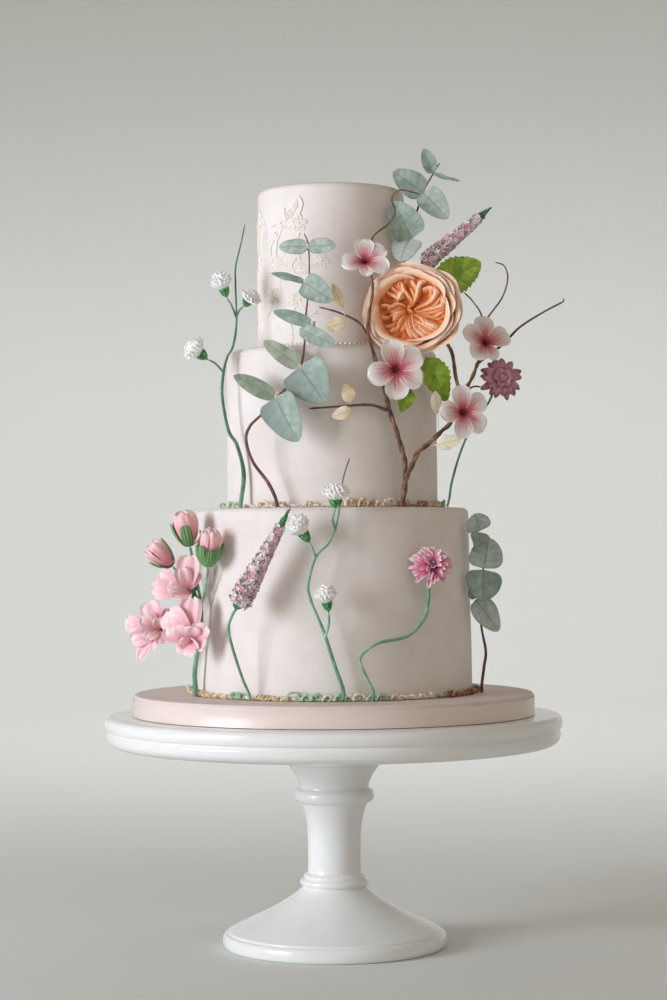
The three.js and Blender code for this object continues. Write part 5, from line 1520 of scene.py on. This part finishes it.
def cornflower():
    """Trumpet florets with split white-tipped mouths round a purple hub, on a flared green neck."""
    frame = facing([37, 288.5, 118.5], 3, 36)
    draw = np.random.default_rng(71)
    shape = Shape()
    for count, lean, length, start in CORNFLOWER_RINGS:
        for k in range(count):
            turn = 360 * (k + lean / 90) / count + draw.uniform(-8, 8)
            slope = lean + draw.uniform(-9, 9)
            slopes = [(0, slope + 6), (0.6, slope), (1, slope - 18)]
            surface = petal(length * draw.uniform(0.82, 1.04), 3.3, slopes, 1.1, 0.2, 2.5,
                            draw.uniform(0, 6), 2.6, 0.45, 0.3, 1.6, 11, 7)
            place = frame @ shifted(z=start) @ spin(turn) @ shifted(x=1.2)
            shape.sheet(surface, 0.35, draw.uniform(), 0, place)
    for x, y, reach in filled_disc(30, 3.6):
        place = moved([x, y, 6.9 - 0.25 * reach**2], frame)
        dot(shape, place, 0.8, 1, 1.3, 0.05 if reach < 0.8 else 0.8)
    shape.turned(CORNFLOWER_NECK, 16, 0.3, 2, frame)
    make("cornflower", shape, [MAGENTA, HUB, GREEN])


cornflower()


# ---------- stage, light and camera ----------

# The floor is flat for this reach, then bends up into a wall of this height, with this many facets round.
FLOOR, BEND, WALL_TOP, FACETS = 2500.0, 2300.0, 5200.0, 96
# The camera is level, 1.76 m in front of the cake, with a long lens; its place and the lamps' are in metres.
EYE = (0, -1.763, 0.3074)
ROLL = 0.0056
SENSOR = 36
LENS = 83.232
SHIFT = (0.000765, 0.042)
CAKE = (0, 0, 0.33)
# Each lamp: its angle from the front, elevation and reach from what it looks at, then its size, power, colour
# and that place.
LAMPS = {
    "key": (-60, 8, 2.3, (0.8, 1.1), 40, "#eff4ff", CAKE),
    "fill": (15, 28, 2.6, (1.6, 1.6), 6.0, "#fff3e8", CAKE),
    "floor": (0, 33.7, 3.2, (1.2, 1.2), 15, "#f2f7ff", (0, 3.5, 0.1)),
}
# The lamps that light spots on the wall, 1 m up: each spot's angle from the front, and the lamp's power and
# colour.
BACKDROPS = [(180, 38, "#f6f9ff"), (90, 13, "#ffeccf"), (-90, 20, "#f6f9ff"), (0, 20, "#f6f9ff")]


def stage():
    """A pale floor that rises into a wall all round, out of every camera's way, with painted shade that makes
    it a little darker high up.
    """
    p = Paint("stage", 0.9, 0.1)
    pale = p.mix(p.noise(400, 2), "#e6e7e3", "#e9eae6")
    # painted shade: the wall is mixed towards a darker grey from 0.5 m to 2.1 m up
    paint = p.finish(p.mix(p.between(p.split(p.place())[2], 0.5, 2.1), pale, "#bbbbb4"))
    arc = [[FLOOR + BEND * math.sin(a), BEND - BEND * math.cos(a)] for a in np.linspace(0, math.pi / 2, 24)]
    radius, height = np.array([[1.0, 0], *arc, [FLOOR + BEND, WALL_TOP]]).T[..., None]
    wall, middle, _ = drum(len(radius), FACETS)
    faces = wall[:, ::-1].tolist() + middle[:, ::-1].tolist()
    points = rings(radius, circle(FACETS), height).reshape(-1, 3)
    put("stage", mesh_of("stage", points, faces, [paint]))


def camera():
    """The photograph's view."""
    data = bpy.data.cameras.new("camera")
    data.sensor_width = SENSOR
    data.lens = LENS
    data.shift_x, data.shift_y = SHIFT
    data.clip_end = 100
    eye = put("camera", data)
    eye.location = EYE
    eye.rotation_euler = (math.radians(90), ROLL, 0)
    bpy.context.scene.camera = eye


def world(code, strength):
    """An even light from all round."""
    made = bpy.data.worlds.new("world")
    made.use_nodes = True
    background = made.node_tree.nodes["Background"]
    background.inputs[0].default_value = tone(code)
    background.inputs[1].default_value = strength
    bpy.context.scene.world = made


def lamp(name, angle, elevation, reach, size, power, code, aim):
    """A soft rectangular light that looks at aim."""
    e = math.radians(elevation)
    spot = aim + reach * np.append(at(angle, 0, 1)[:2] * math.cos(e), math.sin(e))
    data = bpy.data.lights.new(name, "AREA")
    data.shape = "RECTANGLE"
    data.size, data.size_y = size
    data.energy = power
    data.color = tone(code)[:3]
    look = unit(spot - aim)
    side = unit(np.cross(UP, look))
    light = put(name, data)
    light.visible_camera = False
    light.matrix_world = Matrix(basis(side, np.cross(look, side), look, spot).tolist())


stage()
camera()
world("#ffeddc", 0.3)
for lamp_name, settings in LAMPS.items():
    lamp(lamp_name, *settings)
for lamp_angle, lamp_power, shade in BACKDROPS:
    wall_spot = at(lamp_angle, 1.0, 4.48)
    lamp("backdrop", lamp_angle + 180, 26, 3.2, (1.4, 0.7), lamp_power, shade, wall_spot)
bpy.context.scene.view_settings.view_transform = "Standard"
